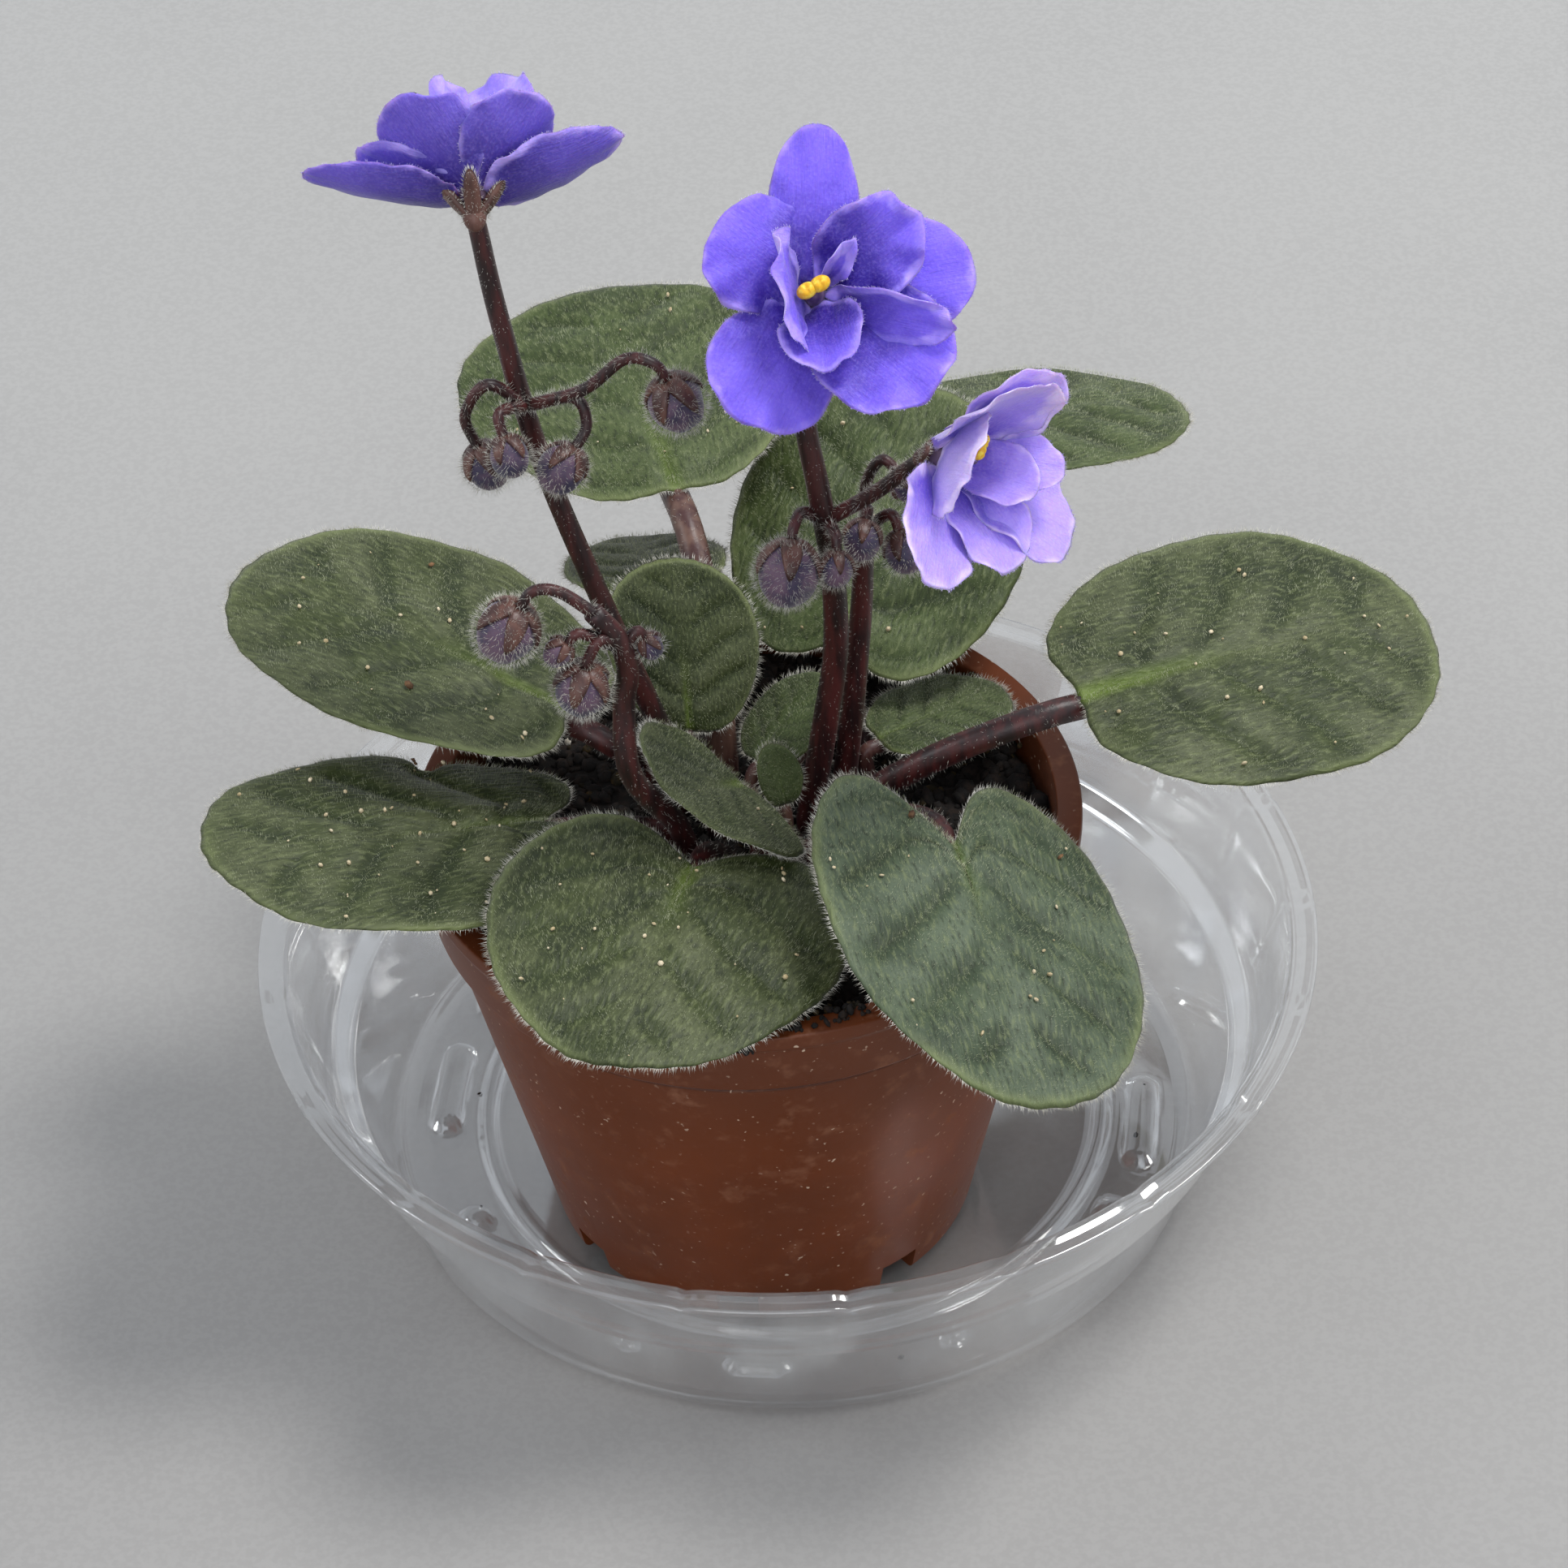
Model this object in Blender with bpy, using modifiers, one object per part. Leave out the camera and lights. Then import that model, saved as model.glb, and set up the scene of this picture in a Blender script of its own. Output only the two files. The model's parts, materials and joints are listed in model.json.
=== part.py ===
"""A young african violet in a small plastic nursery pot, standing in a clear moulded saucer.

Lengths in the tables are millimetres and angles are degrees; MM turns them into metres.
The origin is on the pot's axis, on the surface under the saucer. +Z is up, and -Y is the front.
"""

import math
from collections import namedtuple

import bmesh
import bpy
from mathutils import Matrix, Vector, noise

MM = 0.001
GAP = 0.3                   # between two pieces that touch

# Saucer: a thin dish whose middle lies a little behind the pot's axis
SAUCER_X = 4.2
SAUCER_Y = 10.0
SAUCER_RADIUS = 66.0
SAUCER_HEIGHT = 33.5
SAUCER_BASE_RADIUS = 51.5
SAUCER_WALL = 1.0
SAUCER_FLOOR = 1.2
STEP_RADIUS = 57.6          # the ledge half way up the wall
STEP_HEIGHT = 17.0
RING_RADIUS = 39.4          # the raised ring in the floor
RING_HALF_WIDTH = 1.5
RING_HEIGHT = 1.6
RIB_ORBIT = 44.6            # the long ribs and round bumps outside the ring
RIB_RADIUS = 2.2
RIB_LENGTH = 12.0
RIB_RISE = 0.4              # their height, against their half-width
RIB_TURN = -8.0
BUMP_TURNS = (31.0, 69.0)   # from each long rib
QUARTERS = 4

# Pot: a thin plastic nursery pot with a rim band and drain notches
POT_RADIUS = 40.0
POT_BASE_RADIUS = 26.6
POT_HEIGHT = 60.2
POT_WALL = 1.2
POT_FLOOR = 1.6
BAND_HEIGHT = 9.4           # the rim band
BAND_STEP = 1.5
LIP_WIDTH = 3.1
NOTCH_COUNT = 8
NOTCH_TURN = -54.0          # the first notch, from the front
NOTCH_WIDTH = 5.2
NOTCH_HEIGHT = 4.2

POT_FOOT = SAUCER_FLOOR + GAP
POT_TOP = POT_FOOT + POT_HEIGHT
SOIL_TOP = POT_TOP - 6.0
SOIL_LUMP = 1.3
STEM_DEPTH = 6.0            # how far stems stand in their holes
STEM_SIDES = 1              # bevel resolution: six sides

STEM_RISE = 0.18            # how far a leaf's stem goes straight up, against its length

LEAF_THICKNESS = 1.0
PETAL_THICKNESS = 0.7
SEPAL_THICKNESS = 0.8

# A blade is a flat leaf or petal: a round disc drawn out to length and width. notch is the
# cut at its base, egg narrows the tip (or the base, where negative), skew slides one side
# forwards, arch drops the tip, cup lifts the sides, and wave ripples the edge.
Blade = namedtuple("Blade", "length width notch egg skew arch cup wave")
NOTCH_SPREAD = 0.38
WAVES = 7

# Each leaf: where its blade starts, then its heading, pitch and bank, and its root in the soil
Leaf = namedtuple("Leaf", "base heading pitch bank blade root radius")
LEAVES = {
    "leaf_left_back": Leaf((-20.5, 4.7, 74), 147, 10, 3,
                           Blade(46, 35, 0.22, -0.12, 0.0, 3, 0, 0.5), (-8.6, 7.0), 1.7),
    "leaf_left_front": Leaf((-23.8, -3.4, 64), 202, 17, 0,
                            Blade(42, 33, 0.42, -0.18, -0.05, 3, -1, 0.6), (-8.0, 0.0), 1.6),
    "leaf_front_left": Leaf((-6.3, -16.0, 67.4), 251, 6, -7,
                            Blade(34, 41, 0.45, 0.18, -0.04, 4, -2, 0.6), (-2.5, -6.4), 1.6),
    "leaf_front_right": Leaf((23.5, -17.3, 70), 284, -6, -20,
                             Blade(38, 38.5, 0.58, 0.0, 0.03, 4, -1, 0.5), (6.5, -5.0), 1.6),
    "leaf_right": Leaf((39.4, -2.0, 78), 20, 1, 8,
                       Blade(45.5, 40.5, 0.15, -0.06, 0.0, 4, -1, 0.6), (11.0, 0.6), 1.8),
    "leaf_back_left": Leaf((-6.5, 31.0, 86), 104, 7, -1,
                           Blade(41, 41, 0.10, -0.25, 0.0, 3, -2, 0.4), (-2.6, 12.6), 1.9),
    "leaf_back_right": Leaf((23.6, 52.0, 76.5), 26, -7, -12,
                            Blade(38, 34, 0.20, 0.0, 0.0, 3, -1, 0.4), (14.2, 13.4), 1.5),
    "leaf_middle_back": Leaf((12.3, 20.4, 68.8), 68, 29, 0,
                             Blade(37, 37.5, 0.27, -0.07, 0.04, 2, -1, 0.4), (4.6, 10.6), 1.7),
    "leaf_small_upright": Leaf((-6.4, 9.0, 66.4), 93, 62, 4,
                               Blade(21, 18.2, 0.10, -0.14, 0.10, 1, 0, 0.3), (-5.2, 5.6), 1.2),
    "leaf_small_front": Leaf((-0.2, -2.6, 67.4), 236, 34, -21,
                             Blade(16.5, 24, 0.22, 0.25, 0.0, 1, 0, 0.3), (1.2, -2.2), 1.2),
    "leaf_centre": Leaf((1.4, 7.4, 62.6), 44, 30, -10,
                        Blade(13.5, 12.0, 0.10, 0.0, 0.0, 1, 0, 0.2), (0.6, 6.0), 1.0),
    "leaf_small_right": Leaf((16.2, 9.4, 63.3), 28, 2, -4,
                             Blade(18.0, 15.5, 0.10, 0.0, 0.0, 1, 0, 0.3), (15.2, 8.8), 1.1),
    "leaf_back_sliver": Leaf((-9.6, 25.0, 75), 98, -16, 0,
                             Blade(24, 20, 0.12, 0.0, 0.0, 2, 0, 0.3), (-8.0, 12.6), 1.4),
    "leaf_young": Leaf((4.6, 0.4, 61.5), 112, 58, 0,
                       Blade(7.5, 5.6, 0.10, 0.0, 0.0, 0.5, 1.0, 0.1), (4.6, 0.4), 0.9),
}

# Each spray: the points of its stalk, its radius low down and at the top, and its buds.
# A bud hangs at the end of its own thin stem: the stem's points, then the bud's radius.
Spray = namedtuple("Spray", "stalk radius tip_radius buds")
SPRAYS = {
    "spray_left": Spray(
        [(-3.6, 2.6, 56), (-9.2, 4.8, 68.8), (-15.6, 4.4, 90.6), (-21.5, 5.5, 111.6),
         (-24.8, 6, 130.6), (-26.2, 6, 142.2), (-26.5, 6.3, 144.2)], 1.4, 1.0,
        [([(-22.2, 5, 119), (-15.8, 2, 123), (-11, 1, 127.6), (-7.6, 0, 127.3),
           (-6.5, 0, 124.8)], 3.3),
         ([(-22.2, 5, 119), (-17.0, 3, 121.2), (-15.8, 1.5, 118.4), (-17.4, 0.2, 116)], 2.8),
         ([(-22.6, 5, 119), (-26.6, 3.8, 123), (-29.4, 3.6, 119), (-28.2, 3.2, 114.6)], 2.7),
         ([(-22.6, 5, 119), (-25.4, 1.0, 121), (-25.0, -0.6, 118.6)], 2.3)]),
    "spray_centre": Spray(
        [(7.4, 3.2, 56), (9.6, 3.9, 69.7), (11.3, 4, 82.1), (11.2, 3.5, 94.7),
         (9.9, 2.6, 107), (8.7, 2.4, 117), (9.2, 2.7, 127), (10.0, 1.8, 133.7)], 1.6, 1.1,
        [([(10.5, 3, 102), (8.0, 1.5, 104.6), (6.9, -0.4, 104), (6.5, -1.5, 102.4)], 3.7),
         ([(10.5, 3, 102), (11.6, -0.6, 102.8), (11.6, -1.9, 101)], 2.0)]),
    "spray_back": Spray(
        [(11.6, 6.8, 56), (13.0, 7.8, 68), (14.5, 8.8, 82.8), (15.0, 9, 90.8),
         (15.3, 8.6, 97)], 1.5, 1.1,
        [([(15.3, 8.6, 96), (15.6, 8.4, 103), (17.4, 7.2, 107.2), (19.2, 6.2, 106)], 2.2),
         ([(15.3, 8.6, 96), (15.6, 6.6, 100.6), (15.2, 5.4, 99.6)], 2.3),
         ([(15.3, 8.6, 96), (18.2, 6.8, 99.6), (19.2, 5.6, 97.6)], 2.5)]),
    "spray_front": Spray(
        [(-6.2, -4.6, 56), (-8.4, -8.0, 67.0), (-13.1, -13.8, 79.6), (-13.4, -13.0, 89.2),
         (-12.7, -13.1, 94.3), (-13.5, -13.6, 99.6), (-16.1, -14, 104)], 1.4, 1.2,
        [([(-15.6, -13.9, 103.4), (-19.6, -14, 107.1), (-22.6, -14, 107.4),
           (-24.3, -14, 104.8)], 3.6),
         ([(-13.4, -13.4, 98.6), (-15.4, -15.2, 101), (-16.9, -16, 99), (-17.3, -16, 97.4)], 3.2),
         ([(-13.2, -13.3, 98), (-17.5, -15.2, 102), (-19.3, -15.4, 100.8)], 1.7),
         ([(-13.2, -13.3, 98), (-11.4, -12.8, 100), (-10.6, -12.6, 98.8)], 1.6)]),
}
THIN_STEM = 0.75
BRANCH = [(10.5, 3, 102), (16.4, 0.2, 108), (20, -3, 113.6), (21.6, -4.6, 116.0)]
BRANCH_RADIUS = 0.9

# Each bloom: its middle, the way it faces, the way up across it, and its petals as
# (turn, lift, height, bank, blade). turn 0 points to the right as the bloom is faced.
Petal = namedtuple("Petal", "turn lift height bank blade")
Bloom = namedtuple("Bloom", "centre facing up petals")
BLOOMS = {
    "left": Bloom((-26.5, 6.8, 145.8), (-0.03, 0.74, 0.67), (0, 0.67, -0.74), [
        Petal(182, 3, 0.2, 9, Blade(17.2, 11.5, 0, 0.05, 0, -2.0, 1.0, 0.3)),
        Petal(-3, 8, 0.4, -17, Blade(15.6, 12.0, 0, 0.05, 0, -2.0, 1.0, 0.3)),
        Petal(-142, 46, 0.9, 22, Blade(11.8, 11.5, 0, -0.10, 0, -0.5, 1.2, 0.3)),
        Petal(-30, 44, 1.1, -18, Blade(11.2, 10.6, 0, -0.10, 0, -0.5, 1.2, 0.3)),
        Petal(127, 66, 1.2, 12, Blade(13.5, 8.5, 0, -0.15, 0, -0.5, 1.0, 0.3)),
        Petal(50, 60, 1.2, 6, Blade(14.5, 10.5, 0, -0.15, 0, -0.5, 1.0, 0.4)),
        Petal(176, 22, 1.3, 20, Blade(12.0, 7.5, 0, -0.15, 0, 0.0, 0.8, 0.3)),
    ]),
    "top": Bloom((10.0, 0.4, 135.2), (0.0, -0.70, 0.71), (0, 0.71, 0.70), [
        Petal(86, 8, 0.2, 4, Blade(17.8, 10.2, 0, 0.08, 0, 1.0, -1.0, 0.4)),
        Petal(141, 18, 0.5, 10, Blade(12.2, 13.6, 0, -0.10, 0, 0.5, -0.5, 0.4)),
        Petal(240, 14, 0.2, -12, Blade(15.3, 14.6, 0, -0.14, 0, 1.0, -1.0, 0.4)),
        Petal(-43, 22, 0.6, -8, Blade(17.2, 15.6, 0, -0.08, 0, 1.0, 0.8, 0.5)),
        Petal(8, 9, 0.2, -4, Blade(16.8, 13.0, 0, -0.12, 0, 1.0, -0.5, 0.5)),
        Petal(32, 30, 1.4, 14, Blade(13.6, 11.2, 0, -0.06, 0, 2.0, 1.0, 0.7)),
        Petal(-21, 24, 1.4, 40, Blade(16.0, 6.5, 0, -0.05, 0, 0.8, 1.2, 0.4)),
        Petal(-80, 40, 1.4, 8, Blade(10.4, 9.4, 0, -0.10, 0, 0.5, 2.0, 0.3)),
        Petal(188, 66, 1.0, 0, Blade(8.6, 13.0, 0, -0.10, 0, 0.6, 0.6, 0.5)),
        Petal(46, 56, 1.6, 14, Blade(6.8, 5.0, 0, -0.08, 0, 0.8, 0.5, 0.2)),
    ]),
    "right": Bloom((23.4, -6.4, 117.4), (0.80, -0.48, 0.36), (-0.30, 0.20, 0.93), [
        Petal(68, 62, 0.4, -14, Blade(16.4, 12.6, 0, -0.12, 0, -1.5, 1.5, 0.4)),
        Petal(36, 58, 0.6, 4, Blade(15.4, 12.0, 0, -0.22, 0, 0.2, 1.0, 0.4)),
        Petal(154, 52, 0.6, -26, Blade(11.2, 11.0, 0, 0.05, 0, -0.6, 1.0, 0.3)),
        Petal(208, 14, 0.4, 10, Blade(15.6, 12.0, 0, 0.0, 0, 0.2, 0.5, 0.4)),
        Petal(-103, 29, 0.6, 12, Blade(13.6, 10.6, 0, -0.10, 0, 0.5, 1.0, 0.4)),
        Petal(-64, 25, 0.4, -14, Blade(18.0, 13.0, 0, -0.22, 0, 0.6, 1.0, 0.5)),
        Petal(-70, 60, 1.2, 2, Blade(9.8, 8.0, 0, -0.10, 0, 0.2, 1.5, 0.3)),
        Petal(-40, 49, 1.0, -14, Blade(12.6, 7.2, 0, -0.08, 0, 0.6, 1.0, 0.3)),
    ]),
}
THROAT_RADIUS = 1.8
THROAT_TOP_RADIUS = 0.9
THROAT_RISE = 4.8
PETAL_START = 1.2            # from the middle of the throat
CALYX_DROP = 1.7            # from the bloom's middle down to the middle of its calyx
CALYX_RADIUS = 1.5
SEPAL = Blade(6.0, 1.9, 0, 0.15, 0, -0.6, 0, 0)
SEPAL_COUNT = 5
SEPAL_LIFT = -14
ANTHER_RADIUS = 1.0
ANTHER_GAP = 0.8
ANTHER_TURN = 25

COLOURS = {
    "saucer": ((0.86, 0.88, 0.90), 0.10),
    "pot": ((0.24, 0.075, 0.035), 0.45),
    "soil": ((0.020, 0.014, 0.010), 0.95),
    "leaf": ((0.055, 0.085, 0.040), 0.65),
    "spray": ((0.050, 0.014, 0.018), 0.55),
    "petals": ((0.150, 0.100, 0.700), 0.60),
    "anthers": ((0.85, 0.55, 0.02), 0.50),
}


def clear_scene():
    for obj in list(bpy.data.objects):
        bpy.data.objects.remove(obj, do_unlink=True)


def new_collection(name, helper=False):
    collection = bpy.data.collections.new(name)
    bpy.context.scene.collection.children.link(collection)
    collection.hide_render = helper
    return collection


def material(node, kind):
    colour, roughness = COLOURS[kind]
    made = bpy.data.materials.new(node)
    made.use_nodes = True
    shader = made.node_tree.nodes["Principled BSDF"]
    shader.inputs["Base Color"].default_value = (*colour, 1)
    shader.inputs["Roughness"].default_value = roughness
    if kind == "saucer":
        shader.inputs["Transmission Weight"].default_value = 1.0
        shader.inputs["IOR"].default_value = 1.46
    return made


def object_from(bm, name, collection):
    bmesh.ops.transform(bm, matrix=Matrix.Scale(MM, 4), verts=bm.verts)
    mesh = bpy.data.meshes.new(name)
    bm.to_mesh(mesh)
    bm.free()
    obj = bpy.data.objects.new(name, mesh)
    collection.objects.link(obj)
    return obj


def finish(obj, kind):
    obj.data.materials.clear()
    obj.data.materials.append(material(obj.name, kind))
    obj.data.shade_smooth()
    obj.data.set_sharp_from_angle(angle=math.radians(40))


def apply_modifiers(obj):
    """Replaces the object's mesh with what its modifiers make of it."""
    graph = bpy.context.evaluated_depsgraph_get()
    made = bpy.data.meshes.new_from_object(obj.evaluated_get(graph))
    obj.modifiers.clear()
    obj.data = made
    made.name = obj.name


def join_pieces(name, pieces, parts, kind, solver="EXACT"):
    """One closed body from overlapping pieces: the first takes in the others."""
    body, *others = pieces
    joined = new_collection(name + "_pieces", helper=True)
    for piece in others:
        for holder in list(piece.users_collection):
            holder.objects.unlink(piece)
        joined.objects.link(piece)
    if others:
        union = body.modifiers.new("Union", "BOOLEAN")
        union.operation = "UNION"
        union.operand_type = "COLLECTION"
        union.collection = joined
        union.solver = solver
        apply_modifiers(body)
    for piece in others:
        bpy.data.objects.remove(piece, do_unlink=True)
    bpy.data.collections.remove(joined)
    drop_scraps(body)
    body.name = name
    body.data.name = name
    finish(body, kind)
    return body


def drop_scraps(obj):
    """Keeps the largest connected piece, and removes any scrap that a union left loose."""
    bm = bmesh.new()
    bm.from_mesh(obj.data)
    bmesh.ops.remove_doubles(bm, verts=bm.verts, dist=0.002 * MM)
    left = set(bm.verts)
    groups = []
    while left:
        start = left.pop()
        group = {start}
        edge_of_group = [start]
        while edge_of_group:
            vert = edge_of_group.pop()
            for edge in vert.link_edges:
                other = edge.other_vert(vert)
                if other in left:
                    left.remove(other)
                    group.add(other)
                    edge_of_group.append(other)
        groups.append(group)
    groups.sort(key=len)
    for group in groups[:-1]:
        bmesh.ops.delete(bm, geom=list(group), context="VERTS")
    bm.to_mesh(obj.data)
    bm.free()


def cut(obj, cutters):
    for cutter in cutters:
        cutter.hide_render = True
        cutter.display_type = "WIRE"
        slot = obj.modifiers.new("Cut " + cutter.name, "BOOLEAN")
        slot.operation = "DIFFERENCE"
        slot.object = cutter


def turned(name, profile, segments, collection):
    """A profile of (radius, height) points, turned round the Z axis."""
    bm = bmesh.new()
    verts = [bm.verts.new((radius, 0, height)) for radius, height in profile]
    for first, second in zip(verts, verts[1:]):
        bm.edges.new((first, second))
    obj = object_from(bm, name, collection)
    screw = obj.modifiers.new("Screw", "SCREW")
    screw.axis = "Z"
    screw.steps = segments
    screw.render_steps = segments
    screw.use_merge_vertices = True
    screw.merge_threshold = 0.00001
    apply_modifiers(obj)
    return obj


def smooth_path(points, steps):
    """A Catmull-Rom curve through the points, with some steps between each two."""
    points = [Vector(p) for p in points]
    ends = [2 * points[0] - points[1], *points, 2 * points[-1] - points[-2]]
    path = []
    for i in range(1, len(ends) - 2):
        a, b, c, d = ends[i - 1:i + 3]
        for k in range(steps):
            t = k / steps
            path.append(0.5 * (2 * b + (c - a) * t + (2 * a - 5 * b + 4 * c - d) * t ** 2
                               + (3 * b - a - 3 * c + d) * t ** 3))
    path.append(points[-1])
    return path


def tube(name, path, radius, tip_radius, collection, resolution=STEM_SIDES):
    """A tapered round stem along the path, as a closed mesh."""
    curve = bpy.data.curves.new(name, "CURVE")
    curve.dimensions = "3D"
    curve.bevel_depth = MM
    curve.bevel_resolution = resolution
    curve.use_fill_caps = True
    spline = curve.splines.new("POLY")
    spline.points.add(len(path) - 1)
    for i, (point, at) in enumerate(zip(spline.points, path)):
        share = i / (len(path) - 1)
        point.co = (*(Vector(at) * MM), 1)
        point.radius = radius + (tip_radius - radius) * share
    guide = bpy.data.objects.new(name, curve)
    collection.objects.link(guide)
    graph = bpy.context.evaluated_depsgraph_get()
    mesh = bpy.data.meshes.new_from_object(guide.evaluated_get(graph))
    bpy.data.objects.remove(guide, do_unlink=True)
    bm = bmesh.new()
    bm.from_mesh(mesh)
    bmesh.ops.remove_doubles(bm, verts=bm.verts, dist=0.005 * MM)
    bmesh.ops.recalc_face_normals(bm, faces=bm.faces)
    bm.to_mesh(mesh)
    bm.free()
    obj = bpy.data.objects.new(name, mesh)
    collection.objects.link(obj)
    return obj


def blade_point(blade, u, v):
    """A point of the blade for a point (u, v) of the square -1 to 1. X runs to the tip."""
    a = u * math.sqrt(1 - v * v / 2)
    b = v * math.sqrt(1 - u * u / 2)
    rho = math.hypot(a, b)
    turn = math.atan2(b, a)
    from_base = (math.pi - abs(turn)) / NOTCH_SPREAD
    reach = rho * (1 - blade.notch * math.exp(-from_base ** 2))
    forward = reach * math.cos(turn)
    aside = reach * math.sin(turn)
    x = blade.length / (2 - blade.notch) * (forward + 1 - blade.notch + blade.skew * b)
    y = blade.width / 2 * aside * (1 - blade.egg * a)
    share = x / blade.length
    z = -blade.arch * share * abs(share) + blade.cup * aside ** 2
    z += blade.wave * rho ** 3 * math.sin(WAVES * turn)
    return Vector((x, y, z))


def heading_matrix(base, heading, pitch, bank):
    turn = Matrix.Rotation(math.radians(heading), 4, "Z")
    lift = Matrix.Rotation(-math.radians(pitch), 4, "Y")
    roll = Matrix.Rotation(math.radians(bank), 4, "X")
    return Matrix.Translation(base) @ turn @ lift @ roll


def blade_object(name, blade, place, cells, thickness, collection):
    bm = bmesh.new()
    bmesh.ops.create_grid(bm, x_segments=cells, y_segments=cells, size=1)
    for vert in bm.verts:
        vert.co = place @ blade_point(blade, vert.co.x, vert.co.y)
    bmesh.ops.triangulate(bm, faces=bm.faces)
    obj = object_from(bm, name, collection)
    solid = obj.modifiers.new("Solidify", "SOLIDIFY")
    solid.thickness = thickness * MM
    solid.offset = 0
    apply_modifiers(obj)
    return obj


def build_leaf(name, leaf, parts):
    place = heading_matrix(leaf.base, leaf.heading, leaf.pitch, leaf.bank)
    cells = 8 if leaf.blade.length > 28 else 6 if leaf.blade.length > 17 else 4
    blade = blade_object(name, leaf.blade, place, cells, LEAF_THICKNESS, parts)
    under = 0.45 * leaf.radius
    seat = place @ Vector((0.16 * leaf.blade.length, 0, -under))
    end = place @ Vector((-0.06 * leaf.blade.length, 0, -under))
    root = Vector((*leaf.root, SOIL_TOP + 1.0))
    rise = (end - root).length
    along = (place.to_3x3() @ Vector((1, 0, 0))) * rise * 0.35
    knee = root + Vector((0, 0, STEM_RISE * rise))
    path = [root - Vector((0, 0, STEM_DEPTH)), root]
    for i in range(1, 6):
        t = i / 5
        s = 1 - t
        path.append(s ** 3 * root + 3 * s * s * t * knee
                    + 3 * s * t * t * (end - along) + t ** 3 * end)
    path.append(seat)
    stem = tube(name + "_stem", path, leaf.radius, 0.7 * leaf.radius, parts)
    return join_pieces(name, [blade, stem], parts, "leaf")


def bud_object(name, tip, direction, radius, parts):
    """A round bud that hangs from tip, with five sepals raised on its upper half."""
    bm = bmesh.new()
    bmesh.ops.create_uvsphere(bm, u_segments=10, v_segments=5, radius=radius)
    for vert in bm.verts:
        turn = math.atan2(vert.co.y, vert.co.x)
        down = vert.co.z / radius
        ridge = 0.10 * math.cos(5 * turn) * max(0.0, 0.6 - down)
        vert.co.x *= 1 + ridge
        vert.co.y *= 1 + ridge
        vert.co.z *= 1.12
    facing = direction.normalized().to_track_quat("Z", "Y").to_matrix().to_4x4()
    centre = tip + direction.normalized() * radius * 0.9
    bmesh.ops.transform(bm, matrix=Matrix.Translation(centre) @ facing, verts=bm.verts)
    return object_from(bm, name, parts)


def bloom_matrix(bloom):
    facing = Vector(bloom.facing).normalized()
    up = Vector(bloom.up)
    up = (up - up.dot(facing) * facing).normalized()
    right = up.cross(facing)
    turn = Matrix((right, up, facing)).transposed().to_4x4()
    return Matrix.Translation(bloom.centre) @ turn


def build_calyx(bloom, name, parts):
    """A small cup under the petals, with five narrow sepals."""
    place = bloom_matrix(bloom) @ Matrix.Translation((0, 0, -CALYX_DROP))
    bm = bmesh.new()
    bmesh.ops.create_uvsphere(bm, u_segments=8, v_segments=5, radius=CALYX_RADIUS)
    bmesh.ops.scale(bm, vec=(1, 1, 0.7), verts=bm.verts)
    bmesh.ops.transform(bm, matrix=place, verts=bm.verts)
    pieces = [object_from(bm, name + "_cup", parts)]
    for i in range(SEPAL_COUNT):
        turn = 360 * (i + 0.25) / SEPAL_COUNT
        seat = place @ heading_matrix((0, 0, -0.2), turn, SEPAL_LIFT, 0)
        pieces.append(blade_object(f"{name}_sepal_{i}", SEPAL, seat, 2, SEPAL_THICKNESS, parts))
    return pieces


def build_spray(name, spray, blooms, parts):
    root = Vector((*spray.stalk[0][:2], SOIL_TOP + 1.0))
    stalk = [root - Vector((0, 0, STEM_DEPTH)), root, *smooth_path(spray.stalk[1:], 2)]
    pieces = [tube(name, stalk, spray.radius, spray.tip_radius, parts)]
    for i, (points, radius) in enumerate(spray.buds):
        path = smooth_path(points, 2)
        pieces.append(tube(f"{name}_thin_{i}", path, THIN_STEM, 0.8 * THIN_STEM, parts))
        pieces.append(bud_object(f"{name}_bud_{i}", path[-1], path[-1] - path[-2], radius, parts))
    if name == "spray_centre":
        branch = smooth_path(BRANCH, 2)
        pieces.append(tube(name + "_branch", branch, BRANCH_RADIUS, BRANCH_RADIUS, parts))
    for bloom in blooms:
        pieces += build_calyx(BLOOMS[bloom], f"{name}_{bloom}", parts)
    return join_pieces(name, pieces, parts, "spray")


def build_bloom(name, bloom, parts):
    """Petals in their layers, which meet round a short tapered throat."""
    place = bloom_matrix(bloom)
    bm = bmesh.new()
    bmesh.ops.create_cone(bm, cap_ends=True, segments=8, radius1=THROAT_RADIUS,
                          radius2=THROAT_TOP_RADIUS, depth=THROAT_RISE)
    raised = Matrix.Translation((0, 0, THROAT_RISE / 2 - 0.3))
    bmesh.ops.transform(bm, matrix=place @ raised, verts=bm.verts)
    pieces = [object_from(bm, name, parts)]
    for i, petal in enumerate(bloom.petals):
        start = Matrix.Rotation(math.radians(petal.turn), 4, "Z") @ Vector((PETAL_START, 0, petal.height))
        seat = place @ heading_matrix(start, petal.turn, petal.lift, petal.bank)
        pieces.append(blade_object(f"{name}_{i}", petal.blade, seat, 4, PETAL_THICKNESS, parts))
    return join_pieces(name, pieces, parts, "petals")


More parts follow.
